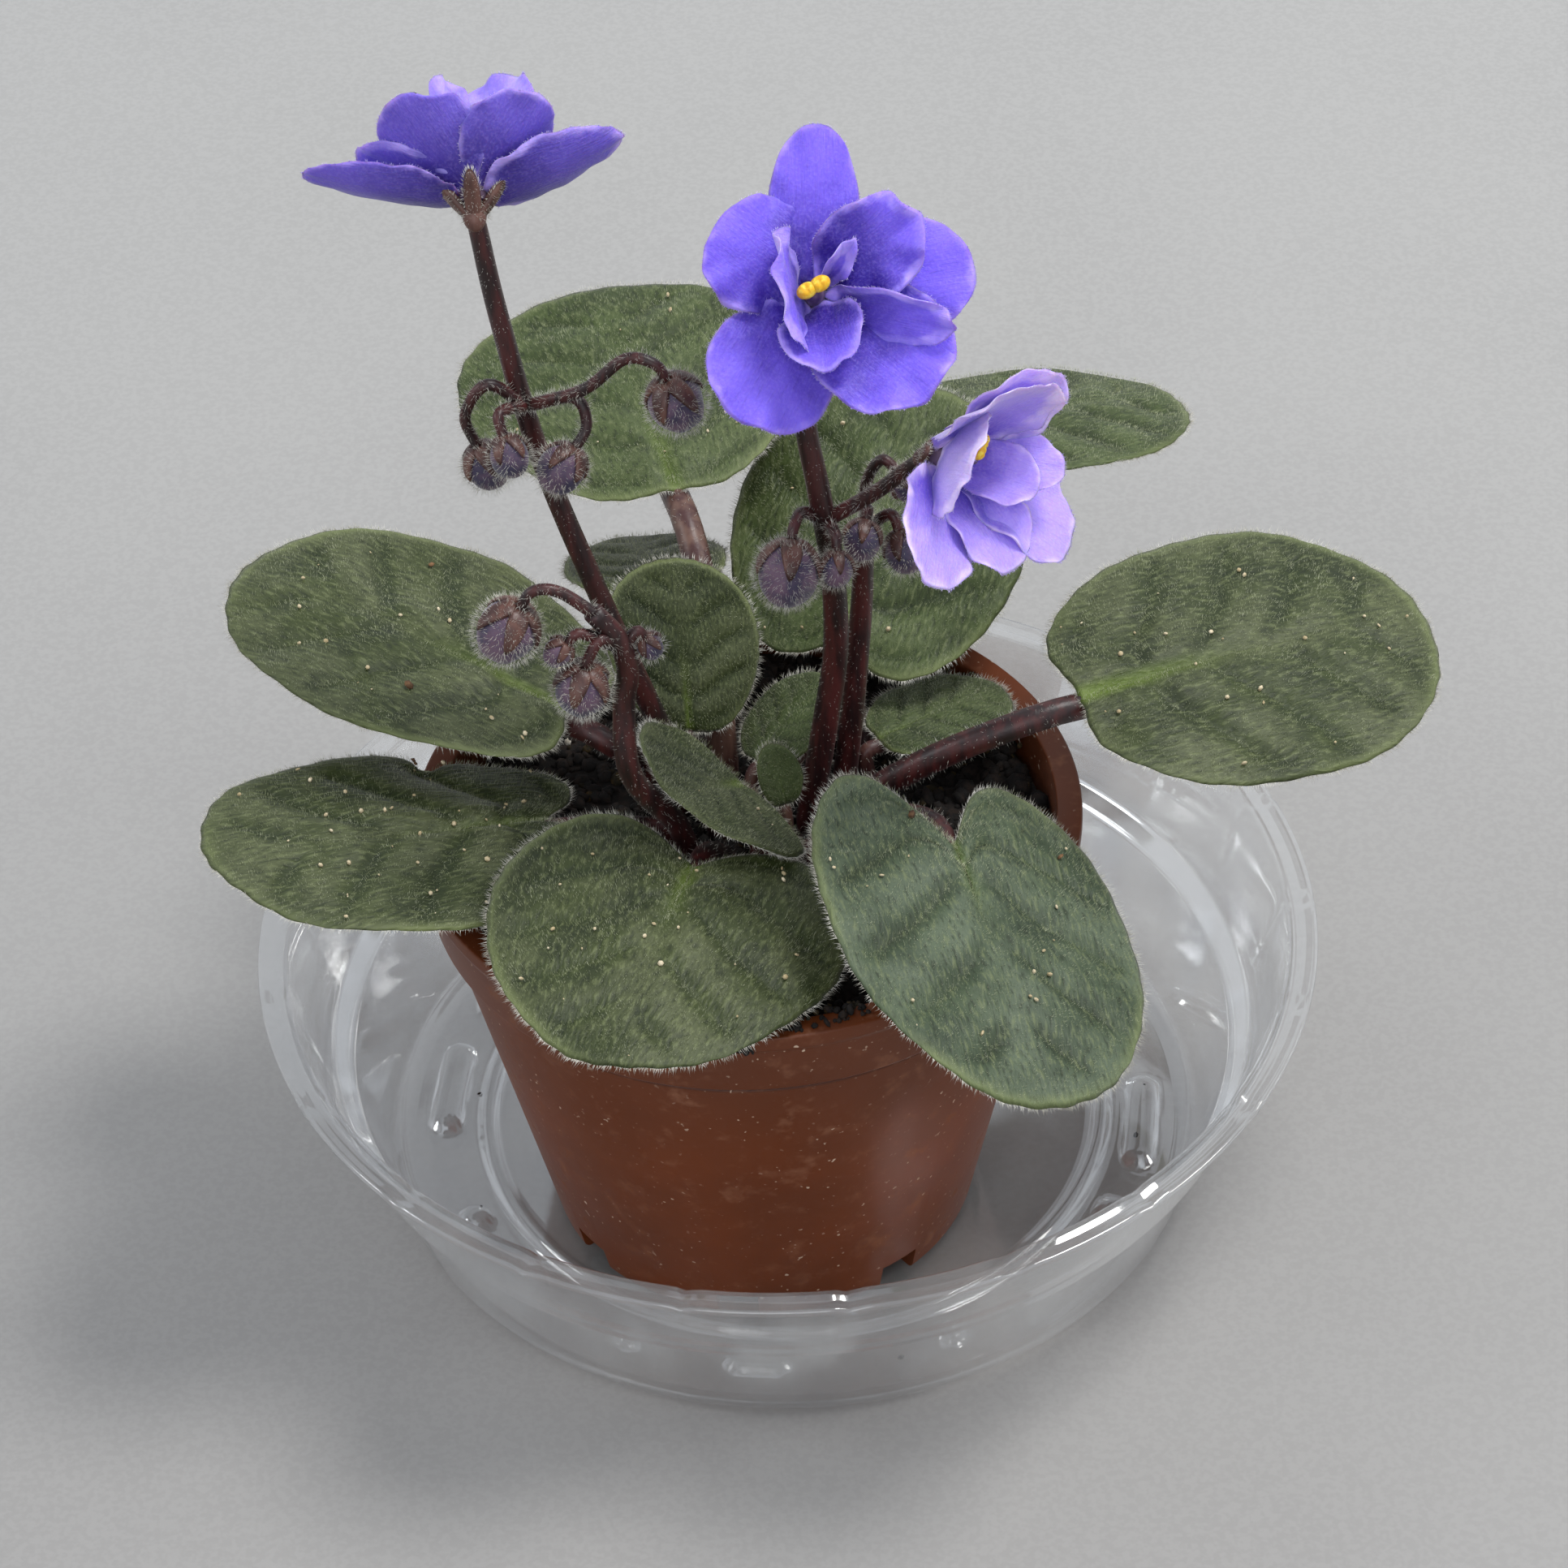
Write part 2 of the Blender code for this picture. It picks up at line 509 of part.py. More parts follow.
def build_anthers(name, bloom, parts):
    """Two yellow pollen sacs side by side, just over the throat."""
    turn = Matrix.Rotation(math.radians(ANTHER_TURN), 4, "Z")
    height = THROAT_RISE - 0.3 + GAP + ANTHER_RADIUS
    place = bloom_matrix(bloom) @ Matrix.Translation((0, 0, height)) @ turn
    pieces = []
    for side in (-1, 1):
        bm = bmesh.new()
        bmesh.ops.create_uvsphere(bm, u_segments=6, v_segments=4, radius=ANTHER_RADIUS)
        bmesh.ops.scale(bm, vec=(1.2, 0.9, 1), verts=bm.verts)
        shift = Matrix.Translation((side * ANTHER_GAP, 0, 0))
        bmesh.ops.transform(bm, matrix=place @ shift, verts=bm.verts)
        pieces.append(object_from(bm, f"{name}_{side}", parts))
    return join_pieces(name, pieces, parts, "anthers")


def floor_rib(name, turn, length, parts):
    """A round-topped rib that lies across the saucer's radius, or a bump if it has no length."""
    bm = bmesh.new()
    bmesh.ops.create_uvsphere(bm, u_segments=8, v_segments=4, radius=RIB_RADIUS)
    for vert in bm.verts:
        if abs(vert.co.y) > 0.01:
            vert.co.y += math.copysign(length / 2, vert.co.y)
    place = (Matrix.Rotation(math.radians(turn), 4, "Z")
             @ Matrix.Translation((RIB_ORBIT, 0, SAUCER_FLOOR - 0.3))
             @ Matrix.Diagonal((1, 1, RIB_RISE, 1)))
    bmesh.ops.transform(bm, matrix=place, verts=bm.verts)
    return object_from(bm, name, parts)


def build_saucer(parts):
    wall = SAUCER_WALL
    profile = [
        (SAUCER_RADIUS - 4.0, SAUCER_HEIGHT),
        (SAUCER_RADIUS, SAUCER_HEIGHT),
        (SAUCER_RADIUS, SAUCER_HEIGHT - wall),
        (SAUCER_RADIUS - 3.0, SAUCER_HEIGHT - wall),
        (STEP_RADIUS + 0.8, STEP_HEIGHT + 1.0),
        (STEP_RADIUS - 1.2, STEP_HEIGHT - 0.8),
        (SAUCER_BASE_RADIUS + 1.6, 3.0),
        (SAUCER_BASE_RADIUS, 0.8),
        (SAUCER_BASE_RADIUS - 2.0, 0.0),
        (0.0, 0.0),
    ]
    inside = [
        (0.0, SAUCER_FLOOR),
        (RING_RADIUS - RING_HALF_WIDTH, SAUCER_FLOOR),
        (RING_RADIUS - 0.5, SAUCER_FLOOR + RING_HEIGHT),
        (RING_RADIUS + 0.5, SAUCER_FLOOR + RING_HEIGHT),
        (RING_RADIUS + RING_HALF_WIDTH, SAUCER_FLOOR),
        (SAUCER_BASE_RADIUS - 2.4, SAUCER_FLOOR),
        (SAUCER_BASE_RADIUS + 0.4, 3.4),
        (STEP_RADIUS - 2.3, STEP_HEIGHT - 0.2),
        (STEP_RADIUS - 0.3, STEP_HEIGHT + 1.6),
    ]
    dish = turned("saucer", profile + inside + profile[:1], 44, parts)
    ribs = []
    for quarter in range(QUARTERS):
        turn = RIB_TURN + 90 * quarter
        ribs.append(floor_rib(f"rib_{quarter}", turn, RIB_LENGTH, parts))
        for side, more in enumerate(BUMP_TURNS):
            ribs.append(floor_rib(f"bump_{quarter}_{side}", turn + more, 0, parts))
    saucer = join_pieces("saucer", [dish, *ribs], parts, "saucer")
    saucer.location = (SAUCER_X * MM, SAUCER_Y * MM, 0)
    return saucer


def pot_outer(height):
    """The radius of the pot's tapered body at a height over its foot."""
    band_radius = POT_RADIUS - BAND_STEP - 1.4
    return POT_BASE_RADIUS + (band_radius - POT_BASE_RADIUS) * height / (POT_HEIGHT - BAND_HEIGHT)


def build_pot(parts, cutters):
    shoulder = POT_HEIGHT - BAND_HEIGHT
    profile = [
        (POT_RADIUS - LIP_WIDTH, POT_HEIGHT),
        (POT_RADIUS - 0.4, POT_HEIGHT),
        (POT_RADIUS, POT_HEIGHT - 0.6),
        (POT_RADIUS - 1.4, shoulder),
        (pot_outer(shoulder), shoulder - 0.8),
        (POT_BASE_RADIUS, 0.6),
        (POT_BASE_RADIUS - 0.6, 0.0),
        (0.0, 0.0),
        (0.0, POT_FLOOR),
        (pot_outer(POT_FLOOR) - POT_WALL, POT_FLOOR),
        (pot_outer(shoulder) - POT_WALL, shoulder - 0.4),
        (POT_RADIUS - LIP_WIDTH, shoulder + 1.2),
        (POT_RADIUS - LIP_WIDTH, POT_HEIGHT),
    ]
    pot = turned("pot", profile, 44, parts)
    pot.location.z = POT_FOOT * MM
    notches = []
    for i in range(NOTCH_COUNT):
        bm = bmesh.new()
        bmesh.ops.create_cube(bm, size=1)
        bmesh.ops.scale(bm, vec=(2.4 * POT_WALL + 4, NOTCH_WIDTH, 2 * NOTCH_HEIGHT), verts=bm.verts)
        turn = math.radians(NOTCH_TURN - 90 + 360 * i / NOTCH_COUNT)
        place = (Matrix.Translation((0, 0, POT_FOOT)) @ Matrix.Rotation(turn, 4, "Z")
                 @ Matrix.Translation((POT_BASE_RADIUS, 0, 0)))
        bmesh.ops.transform(bm, matrix=place, verts=bm.verts)
        notches.append(object_from(bm, f"cut_notch_{i}", cutters))
    cut(pot, notches)
    finish(pot, "pot")
    return pot


def build_soil(roots, parts, cutters):
    """The potting mix: it fills the pot, with a lumpy top and a plain hole for each stem."""
    bottom = POT_FLOOR + GAP
    top = SOIL_TOP - POT_FOOT
    bm = bmesh.new()
    low = pot_outer(bottom) - POT_WALL - GAP
    high = POT_RADIUS - LIP_WIDTH - GAP - 0.5
    bmesh.ops.create_cone(bm, cap_ends=True, segments=40, radius1=low, radius2=high,
                          depth=top - bottom)
    bmesh.ops.translate(bm, vec=(0, 0, POT_FOOT + (top + bottom) / 2), verts=bm.verts)
    crown = max(bm.faces, key=lambda face: face.calc_center_median().z)
    for width in (6, 8, 8):
        bmesh.ops.inset_region(bm, faces=[crown], thickness=width)
    for vert in bm.verts:
        inside = math.hypot(vert.co.x, vert.co.y) < high - 1
        if inside and vert.co.z > SOIL_TOP - 1:
            vert.co.z += SOIL_LUMP * noise.noise(vert.co * 0.16)
    bmesh.ops.poke(bm, faces=[crown])
    soil = object_from(bm, "soil", parts)
    holes = []
    for i, (x, y, radius) in enumerate(roots):
        bm = bmesh.new()
        bmesh.ops.create_cone(bm, cap_ends=True, segments=8, radius1=radius + 0.45,
                              radius2=radius + 0.45, depth=2 * STEM_DEPTH)
        bmesh.ops.translate(bm, vec=(x, y, SOIL_TOP + 1 - GAP), verts=bm.verts)
        holes.append(object_from(bm, f"cut_hole_{i}", cutters))
    cut(soil, holes)
    finish(soil, "soil")
    return soil


def main():
    clear_scene()
    parts = new_collection("potted_african_violet")
    cutters = new_collection("cutters", helper=True)
    build_saucer(parts)
    build_pot(parts, cutters)
    roots = [(*leaf.root, leaf.radius) for leaf in LEAVES.values()]
    roots += [(*spray.stalk[0][:2], spray.radius) for spray in SPRAYS.values()]
    build_soil(roots, parts, cutters)
    for name, leaf in LEAVES.items():
        build_leaf(name, leaf, parts)
    for name, spray in SPRAYS.items():
        blooms = {"spray_left": ["left"], "spray_centre": ["top", "right"]}.get(name, [])
        build_spray(name, spray, blooms, parts)
    for name, bloom in BLOOMS.items():
        build_bloom("petals_" + name, bloom, parts)
        build_anthers("anthers_" + name, bloom, parts)


main()
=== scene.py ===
# %% [markdown]
# # A potted african violet in fine detail
#
# The plain solids of this plant come from its CAD source. This lesson replaces them with finer
# pieces: furry heart-shaped leaves, ruffled petals, hairy buds, loose soil and a clear saucer.
# Lengths in the tables are millimetres and angles are degrees. Everything stands in the frame
# of the solids: the origin is on the pot's axis under the saucer, +Z is up, -Y is the front.

import json
import math
from collections import namedtuple

import bmesh
import bpy
import numpy as np
from mathutils import Matrix, Vector
from mathutils.bvhtree import BVHTree

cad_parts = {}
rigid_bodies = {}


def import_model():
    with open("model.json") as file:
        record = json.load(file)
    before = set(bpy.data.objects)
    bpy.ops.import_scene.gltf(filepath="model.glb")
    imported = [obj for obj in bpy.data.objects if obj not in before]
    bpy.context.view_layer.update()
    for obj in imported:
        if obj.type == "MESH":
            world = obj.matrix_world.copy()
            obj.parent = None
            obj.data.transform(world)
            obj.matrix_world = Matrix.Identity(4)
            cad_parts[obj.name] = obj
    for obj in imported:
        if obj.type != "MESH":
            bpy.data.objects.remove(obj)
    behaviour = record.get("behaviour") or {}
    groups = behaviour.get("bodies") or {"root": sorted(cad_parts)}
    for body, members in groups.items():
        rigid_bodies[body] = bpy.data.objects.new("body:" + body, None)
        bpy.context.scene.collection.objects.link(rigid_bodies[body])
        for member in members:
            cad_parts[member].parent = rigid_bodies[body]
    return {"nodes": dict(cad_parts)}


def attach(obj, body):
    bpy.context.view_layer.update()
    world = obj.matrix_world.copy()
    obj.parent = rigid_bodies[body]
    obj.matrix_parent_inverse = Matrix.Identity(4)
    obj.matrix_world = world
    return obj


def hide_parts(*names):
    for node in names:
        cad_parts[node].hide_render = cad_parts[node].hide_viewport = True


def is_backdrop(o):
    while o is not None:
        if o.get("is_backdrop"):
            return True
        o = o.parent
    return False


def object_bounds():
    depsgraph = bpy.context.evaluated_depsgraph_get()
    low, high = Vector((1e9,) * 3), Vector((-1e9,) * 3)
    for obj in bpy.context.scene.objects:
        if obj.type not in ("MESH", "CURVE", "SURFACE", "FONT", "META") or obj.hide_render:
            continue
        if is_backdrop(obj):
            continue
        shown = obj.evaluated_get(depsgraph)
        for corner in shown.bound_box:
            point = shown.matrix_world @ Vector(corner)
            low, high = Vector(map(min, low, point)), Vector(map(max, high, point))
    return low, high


for leftover in list(bpy.data.objects):
    bpy.data.objects.remove(leftover)
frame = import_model()
CAD_LOW, CAD_HIGH = (np.array(corner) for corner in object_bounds())
print("CAD box in mm:", np.round((CAD_HIGH - CAD_LOW) * 1000, 1))

# %% [markdown]
# ## The camera
#
# A real camera has a place, a direction and a focal length. This one looks down on the plant at
# about 41 degrees from well in front of it, through a long lens, so the pot tapers only a
# little. A new camera looks straight down, with its top towards the back: one turn tips it up
# towards the plant, and two small ones set it straight.

# %% Camera
MM = 0.001
CAMERA_AT = Vector((0.0, -436.94, 445.15)) * MM
CAMERA_DOWN = 0.71588       # radians below the horizon
CAMERA_TURN = 0.01035
CAMERA_ROLL = -0.04331
LENS = 111.8
SENSOR_WIDTH = 36
NEAREST = 0.05


def add_object(name, data):
    """A new object in the scene that shows a mesh, a lamp or a camera."""
    holder = bpy.data.objects.new(name, data)
    bpy.context.scene.collection.objects.link(holder)
    return holder


def camera_matrix():
    tip = Matrix.Rotation(math.pi / 2 - CAMERA_DOWN, 4, "X")
    turn = Matrix.Rotation(-CAMERA_TURN, 4, "Z")
    roll = Matrix.Rotation(CAMERA_ROLL, 4, "Z")
    return Matrix.Translation(CAMERA_AT) @ turn @ tip @ roll


lens = bpy.data.cameras.new("camera")
lens.lens = LENS
lens.sensor_width = SENSOR_WIDTH
lens.clip_start = NEAREST
camera = add_object("camera", lens)
camera.matrix_world = camera_matrix()
bpy.context.scene.camera = camera
bpy.context.scene.view_settings.view_transform = "Standard"
print("camera distance to the plant:", round(CAMERA_AT.length, 3), "m")

# %% [markdown]
# ## Soft studio light
#
# The soft light comes from above and from the right, so each leaf drops a short soft shadow to
# the left. Two weak windows at the sides put glints on the clear saucer and the pot's flanks, a
# broad weak lamp lights the front, and a pale world all round opens the shadows. The lamps are
# disks, because a wide source gives a shadow a soft edge.

# %% Lights
WORLD_GREY = (0.80, 0.84, 0.90)
WORLD_STRENGTH = 0.88
LIT_POINT = Vector((0, 0, 0.07))
Lamp = namedtuple("Lamp", "place size power colour")
LAMPS = {
    "skylight": Lamp((0.42, 0.10, 1.15), 0.34, 8.0, (1.0, 0.99, 0.97)),
    "left_window": Lamp((-1.1, 0.0, 0.75), 0.35, 2.5, (0.96, 0.98, 1.0)),
    "right_window": Lamp((1.1, -0.1, 0.75), 0.35, 3.0, (1.0, 0.98, 0.95)),
    "front_fill": Lamp((-0.2, -1.2, 0.9), 0.9, 3.5, (0.98, 0.99, 1.0)),
}

world = bpy.data.worlds.new("room")
world.use_nodes = True
world.node_tree.nodes["Background"].inputs["Color"].default_value = (*WORLD_GREY, 1)
world.node_tree.nodes["Background"].inputs["Strength"].default_value = WORLD_STRENGTH
bpy.context.scene.world = world
for name, lamp in LAMPS.items():
    light = bpy.data.lights.new(name, "AREA")
    light.shape = "DISK"
    light.size = lamp.size
    light.energy = lamp.power
    light.color = lamp.colour
    holder = add_object(name, light)
    holder.location = lamp.place
    holder.rotation_euler = (LIT_POINT - holder.location).to_track_quat("-Z", "Y").to_euler()
print("lights:", len(bpy.data.lights))

# %% [markdown]
# ## Finishes
#
# Every surface of the plant has its own finish, and each is a small network of shader nodes:
# noise at two or three sizes stirs the colour, and a bump gives the fine grain that is too small
# to model. Patterns on leaves and petals follow the surface, so those meshes carry an attribute
# called spot with three numbers for each point, which the nodes read. A small class holds the
# material and adds one node with each call, so a finish reads as a short recipe.

# %% Helpers for finishes
def paint(red, green, blue):
    """The linear colour of three screen values from 0 to 255, which is what shaders use."""
    values = [c / 255 for c in (red, green, blue)]
    return (*[v / 12.92 if v < 0.04 else ((v + 0.055) / 1.055) ** 2.4 for v in values], 1.0)


class Finish:
    """A material. Each method adds a shader node to it and gives back what comes out."""

    def __init__(self, name, **sockets):
        self.material = bpy.data.materials.new(name)
        self.material.use_nodes = True
        self.nodes = self.material.node_tree.nodes
        self.shader = self.nodes["Principled BSDF"]
        for socket, value in sockets.items():
            self.feed(self.shader.inputs[socket.replace("_", " ")], value)
        self.where = self.add("ShaderNodeTexCoord").outputs["Object"]

    def feed(self, socket, value):
        """Sets a socket to a plain value, or links it to another node's output."""
        if isinstance(value, bpy.types.NodeSocket):
            self.material.node_tree.links.new(value, socket)
        else:
            socket.default_value = value

    def add(self, kind, **inputs):
        node = self.nodes.new(kind)
        for name, value in inputs.items():
            self.feed(node.inputs[name], value)
        return node

    def noise(self, scale, detail=3.0, roughness=0.55, vector=None):
        return self.add("ShaderNodeTexNoise", Vector=vector or self.where, Scale=scale,
                        Detail=detail, Roughness=roughness).outputs["Fac"]

    def between(self, value, low, high, out_low=0.0, out_high=1.0):
        """Spreads value's range from low to high over out_low to out_high, smoothly."""
        node = self.add("ShaderNodeMapRange", Value=value)
        node.interpolation_type = "SMOOTHSTEP"
        for socket, number in zip(node.inputs[1:5], (low, high, out_low, out_high)):
            socket.default_value = number
        return node.outputs["Result"]

    def clouds(self, scale, low, high, out_low=0.0, out_high=1.0, detail=3.0):
        """Noise, with its range from low to high spread over out_low to out_high."""
        return self.between(self.noise(scale, detail), low, high, out_low, out_high)

    def combine(self, operation, first, second=0.0):
        node = self.add("ShaderNodeMath")
        node.operation = operation
        for socket, value in zip(node.inputs, (first, second)):
            self.feed(socket, value)
        return node.outputs[0]

    def plus(self, first, second):
        return self.combine("ADD", first, second)

    def times(self, first, second):
        return self.combine("MULTIPLY", first, second)

    def mix(self, share, first, second):
        """One colour laid over another by a share from 0 to 1, with colours as screen values."""
        node = self.nodes.new("ShaderNodeMix")
        node.data_type = "RGBA"
        self.feed(node.inputs["Factor"], share)
        for socket, colour in zip((6, 7), (first, second)):
            self.feed(node.inputs[socket], paint(*colour) if isinstance(colour, tuple) else colour)
        return node.outputs[2]

    def split(self, vector):
        return self.add("ShaderNodeSeparateXYZ", Vector=vector).outputs

    def spot(self):
        """The three numbers that a mesh keeps for each of its points."""
        node = self.add("ShaderNodeAttribute")
        node.attribute_name = "spot"
        return self.split(node.outputs["Vector"])

    def drawn_up(self, height):
        """The place of a point with its height scaled, for noise that is drawn out upwards."""
        return self.add("ShaderNodeMapping", Vector=self.where,
                        Scale=(1, 1, height)).outputs["Vector"]

    def drawn_along(self, along, aside, pace_along, pace_aside):
        """A vector for noise that is drawn out along a blade."""
        return self.add("ShaderNodeCombineXYZ", X=self.times(along, pace_along),
                        Y=self.times(aside, pace_aside)).outputs["Vector"]

    def reach(self, along, aside):
        """How far out a point of the disc lies, from 0 in the middle to 1 at the rim."""
        squares = self.plus(self.times(along, along), self.times(aside, aside))
        return self.combine("SQRT", squares)

    def emboss(self, height, distance_mm, strength):
        node = self.add("ShaderNodeBump", Height=height, Distance=distance_mm * MM,
                        Strength=strength)
        self.feed(self.shader.inputs["Normal"], node.outputs["Normal"])

    def done(self, colour, **more):
        """Feeds the shader its colour and other sockets, and gives back the material."""
        for socket, value in {"Base Color": colour, **more}.items():
            self.feed(self.shader.inputs[socket], value)
        return self.material


def two_tone(name, dark, light, clouds, grain=None, **sockets):
    """Two colours in clouds of noise, and a fine grain raised by more noise."""
    finish = Finish(name, **sockets)
    if grain:
        scale, detail, distance_mm, strength = grain
        finish.emboss(finish.noise(scale, detail), distance_mm, strength)
    return finish.done(finish.mix(finish.clouds(*clouds), dark, light))


# %% Helpers for meshes
def keep_mesh(bm, name="part"):
    """A mesh with what the bmesh holds."""
    mesh = bpy.data.meshes.new(name)
    bm.to_mesh(mesh)
    bm.free()
    return mesh


def read_points(mesh):
    points = np.empty(len(mesh.vertices) * 3, np.float32)
    mesh.vertices.foreach_get("co", points)
    return points.reshape(-1, 3).astype(float)


# %% [markdown]
# ## The floor
#
# The plant stands on a large smooth sheet of matt grey that darkens a little towards the front, as
# a painted fall-off of the light.
# It only has to carry the soft shadow, so it is one face with fine speckles and faint clouds.

# %% Floor
FLOOR_FRONT_PAINTED_SHADE = (146, 144, 142)
FLOOR_BACK_PAINTED_LIGHT = (168, 167, 165)
FLOOR_SIZE = 2.5
FLOOR_HEIGHT = -0.0003


def floor_finish():
    finish = Finish("floor_paint", Roughness=0.75)
    # Painted light and shade: lighter at the back, darker towards the front.
    back = finish.between(finish.split(finish.where)["Y"], -0.25, 0.40)
    colour = finish.mix(back, FLOOR_FRONT_PAINTED_SHADE, FLOOR_BACK_PAINTED_LIGHT)
    speckle = finish.noise(1200, 1)
    colour = finish.mix(finish.between(speckle, 0.35, 0.65, 0, 0.10), colour, (96, 94, 92))
    clouds = finish.clouds(14, 0.35, 0.65, 0, 0.10, 1)
    finish.emboss(speckle, 0.05, 0.5)
    return finish.done(finish.mix(clouds, colour, (180, 179, 176)))


bm = bmesh.new()
bmesh.ops.create_grid(bm, x_segments=1, y_segments=1, size=FLOOR_SIZE)
bmesh.ops.translate(bm, verts=bm.verts, vec=(0, 0, FLOOR_HEIGHT))
floor = add_object("floor", keep_mesh(bm, "floor"))
floor.data.materials.append(floor_finish())
floor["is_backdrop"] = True
print("floor:", [round(side, 2) for side in floor.dimensions], "m")

# %% [markdown]
# ## Putting a piece together
#
# Each piece is made of a few small meshes in millimetres: sheets, tubes and scattered bits. The
# next cell joins them, turns millimetres into metres, keeps every point inside the box of the
# solids, and ties the new piece to the plant's one body in place of the solids it stands for.

# %% Helper that finishes a piece
rng = np.random.default_rng(11)
BOX_MARGIN = 1e-5


def assemble(name, meshes, finishes, stands_for=(), crease=None):
    """Joins meshes, each given with the number of its finish or None to keep its own."""
    bm = bmesh.new()
    bm.verts.layers.float_vector.new("spot")
    for mesh, number in meshes:
        if number is not None:
            numbers = np.full(len(mesh.polygons), number, np.int32)
            mesh.polygons.foreach_set("material_index", numbers)
        bm.from_mesh(mesh)
        bpy.data.meshes.remove(mesh)
    mesh = keep_mesh(bm, name)
    points = np.clip(read_points(mesh) * MM, CAD_LOW + BOX_MARGIN, CAD_HIGH - BOX_MARGIN)
    mesh.vertices.foreach_set("co", points.ravel())
    for finish in finishes:
        mesh.materials.append(finish)
    mesh.shade_smooth()
    if crease:
        mesh.set_sharp_from_angle(angle=math.radians(crease))
    mesh.update()
    piece = add_object(name, mesh)
    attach(piece, "root")
    if stands_for:
        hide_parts(*stands_for)
    triangles = sum(len(face.vertices) - 2 for face in mesh.polygons)
    print(f"{name}: {triangles} triangles, {np.round(np.array(piece.dimensions) / MM, 1)} mm")


# %% [markdown]
# ## Sheets: leaves, petals and sepals
#
# A leaf or petal is a thin sheet that is thickest in the middle and thins to a round edge. Each
# one starts as two square grids that are drawn into a disc and then into the blade's outline.
# The upper grid is pushed out along the blade's normal and the lower one is pushed the other
# way; the push fades to nothing at the edge, where the two are merged into one closed skin.

# %% Helpers for sheets
Blade = namedtuple("Blade", "length width notch egg skew arch cup wave")
NOTCH_SPREAD = 0.38
WAVES = 7
STEP = 0.004
MERGE_DISTANCE = 0.0005


def disc_of(u, v):
    """Draws the square from -1 to 1 into a round disc."""
    return u * np.sqrt(1 - v * v / 2), v * np.sqrt(1 - u * u / 2)


def blade_form(blade, a, b):
    """The blade's smooth form over the disc. X runs to the tip and Z is up."""
    rho = np.hypot(a, b)
    turn = np.arctan2(b, a)
    from_base = (np.pi - np.abs(turn)) / NOTCH_SPREAD
    reach = rho * (1 - blade.notch * np.exp(-from_base ** 2))
    forward = reach * np.cos(turn)
    aside = reach * np.sin(turn)
    x = blade.length / (2 - blade.notch) * (forward + 1 - blade.notch + blade.skew * b)
    y = blade.width / 2 * aside * (1 - blade.egg * a)
    share = x / blade.length
    z = -blade.arch * share * np.abs(share) + blade.cup * aside ** 2
    z += blade.wave * rho ** 3 * np.sin(WAVES * turn)
    return np.stack([x, y, z], axis=1), rho, turn


def unit(vectors):
    return vectors / np.maximum(np.linalg.norm(vectors, axis=1, keepdims=True), 1e-9)


def normals_of(shape, a, b):
    across = shape(a + STEP, b) - shape(a - STEP, b)
    along = shape(a, b + STEP) - shape(a, b - STEP)
    return unit(np.cross(across, along))


def turned(place, vectors):
    return vectors @ np.array(place)[:3, :3].T


def moved(place, points):
    return turned(place, points) + np.array(place)[:3, 3]


def sheet(shape, marks, place, cells, thickness, finishes):
    """A closed sheet over shape(a, b), with marks(a, b) kept as its spot attribute.

    It has the first of the two finishes on its upper side and the second on its lower side."""
    bm = bmesh.new()
    spot = bm.verts.layers.float_vector.new("spot")
    for side, finish in zip((1, -1), finishes):
        verts = bmesh.ops.create_grid(bm, x_segments=cells, y_segments=cells, size=1)["verts"]
        square = np.array([vert.co for vert in verts])
        a, b = disc_of(square[:, 0], square[:, 1])
        rise = thickness / 2 * np.sqrt(np.maximum(0, 1 - np.hypot(a, b) ** 6))
        points = shape(a, b) + side * rise[:, None] * normals_of(shape, a, b)
        for vert, point, mark in zip(verts, moved(place, points), marks(a, b)):
            vert.co = point
            vert[spot] = mark
        faces = {face for vert in verts for face in vert.link_faces}
        for face in faces:
            face.material_index = finish
        if side < 0:
            bmesh.ops.reverse_faces(bm, faces=list(faces))
    bmesh.ops.remove_doubles(bm, verts=bm.verts, dist=MERGE_DISTANCE)
    return keep_mesh(bm)


def heading_matrix(base, heading, pitch, bank):
    turn = Matrix.Rotation(math.radians(heading), 4, "Z")
    lift = Matrix.Rotation(-math.radians(pitch), 4, "Y")
    roll = Matrix.Rotation(math.radians(bank), 4, "X")
    return Matrix.Translation(base) @ turn @ lift @ roll


# %% [markdown]
# ## Stems
#
# A stem is a circle that is extruded from point to point along a smooth path. At every point the
# ring is turned by the smallest turn from the ring before it, so the tube doesn't twist, and it
# narrows steadily towards its tip. Both ends are closed.

# %% Helpers for stems
def smooth_path(points, steps):
    """A Catmull-Rom curve through the points, with some steps between each two."""
    points = [Vector(p) for p in points]
    ends = [2 * points[0] - points[1], *points, 2 * points[-1] - points[-2]]
    path = []
    for i in range(1, len(ends) - 2):
        a, b, c, d = ends[i - 1:i + 3]
        for k in range(steps):
            t = k / steps
            path.append(0.5 * (2 * b + (c - a) * t + (2 * a - 5 * b + 4 * c - d) * t ** 2
                               + (3 * b - a - 3 * c + d) * t ** 3))
    path.append(points[-1])
    return path


def ring_places(path):
    """A matrix for each point of the path: Z runs along it, with no twist."""
    places = []
    turn = None
    for i, point in enumerate(path):
        ahead = (path[min(i + 1, len(path) - 1)] - path[max(i - 1, 0)]).normalized()
        if turn is None:
            turn = ahead.to_track_quat("Z", "Y")
        else:
            turn = (turn @ Vector((0, 0, 1))).rotation_difference(ahead) @ turn
        places.append(Matrix.Translation(point) @ turn.to_matrix().to_4x4())
    return places


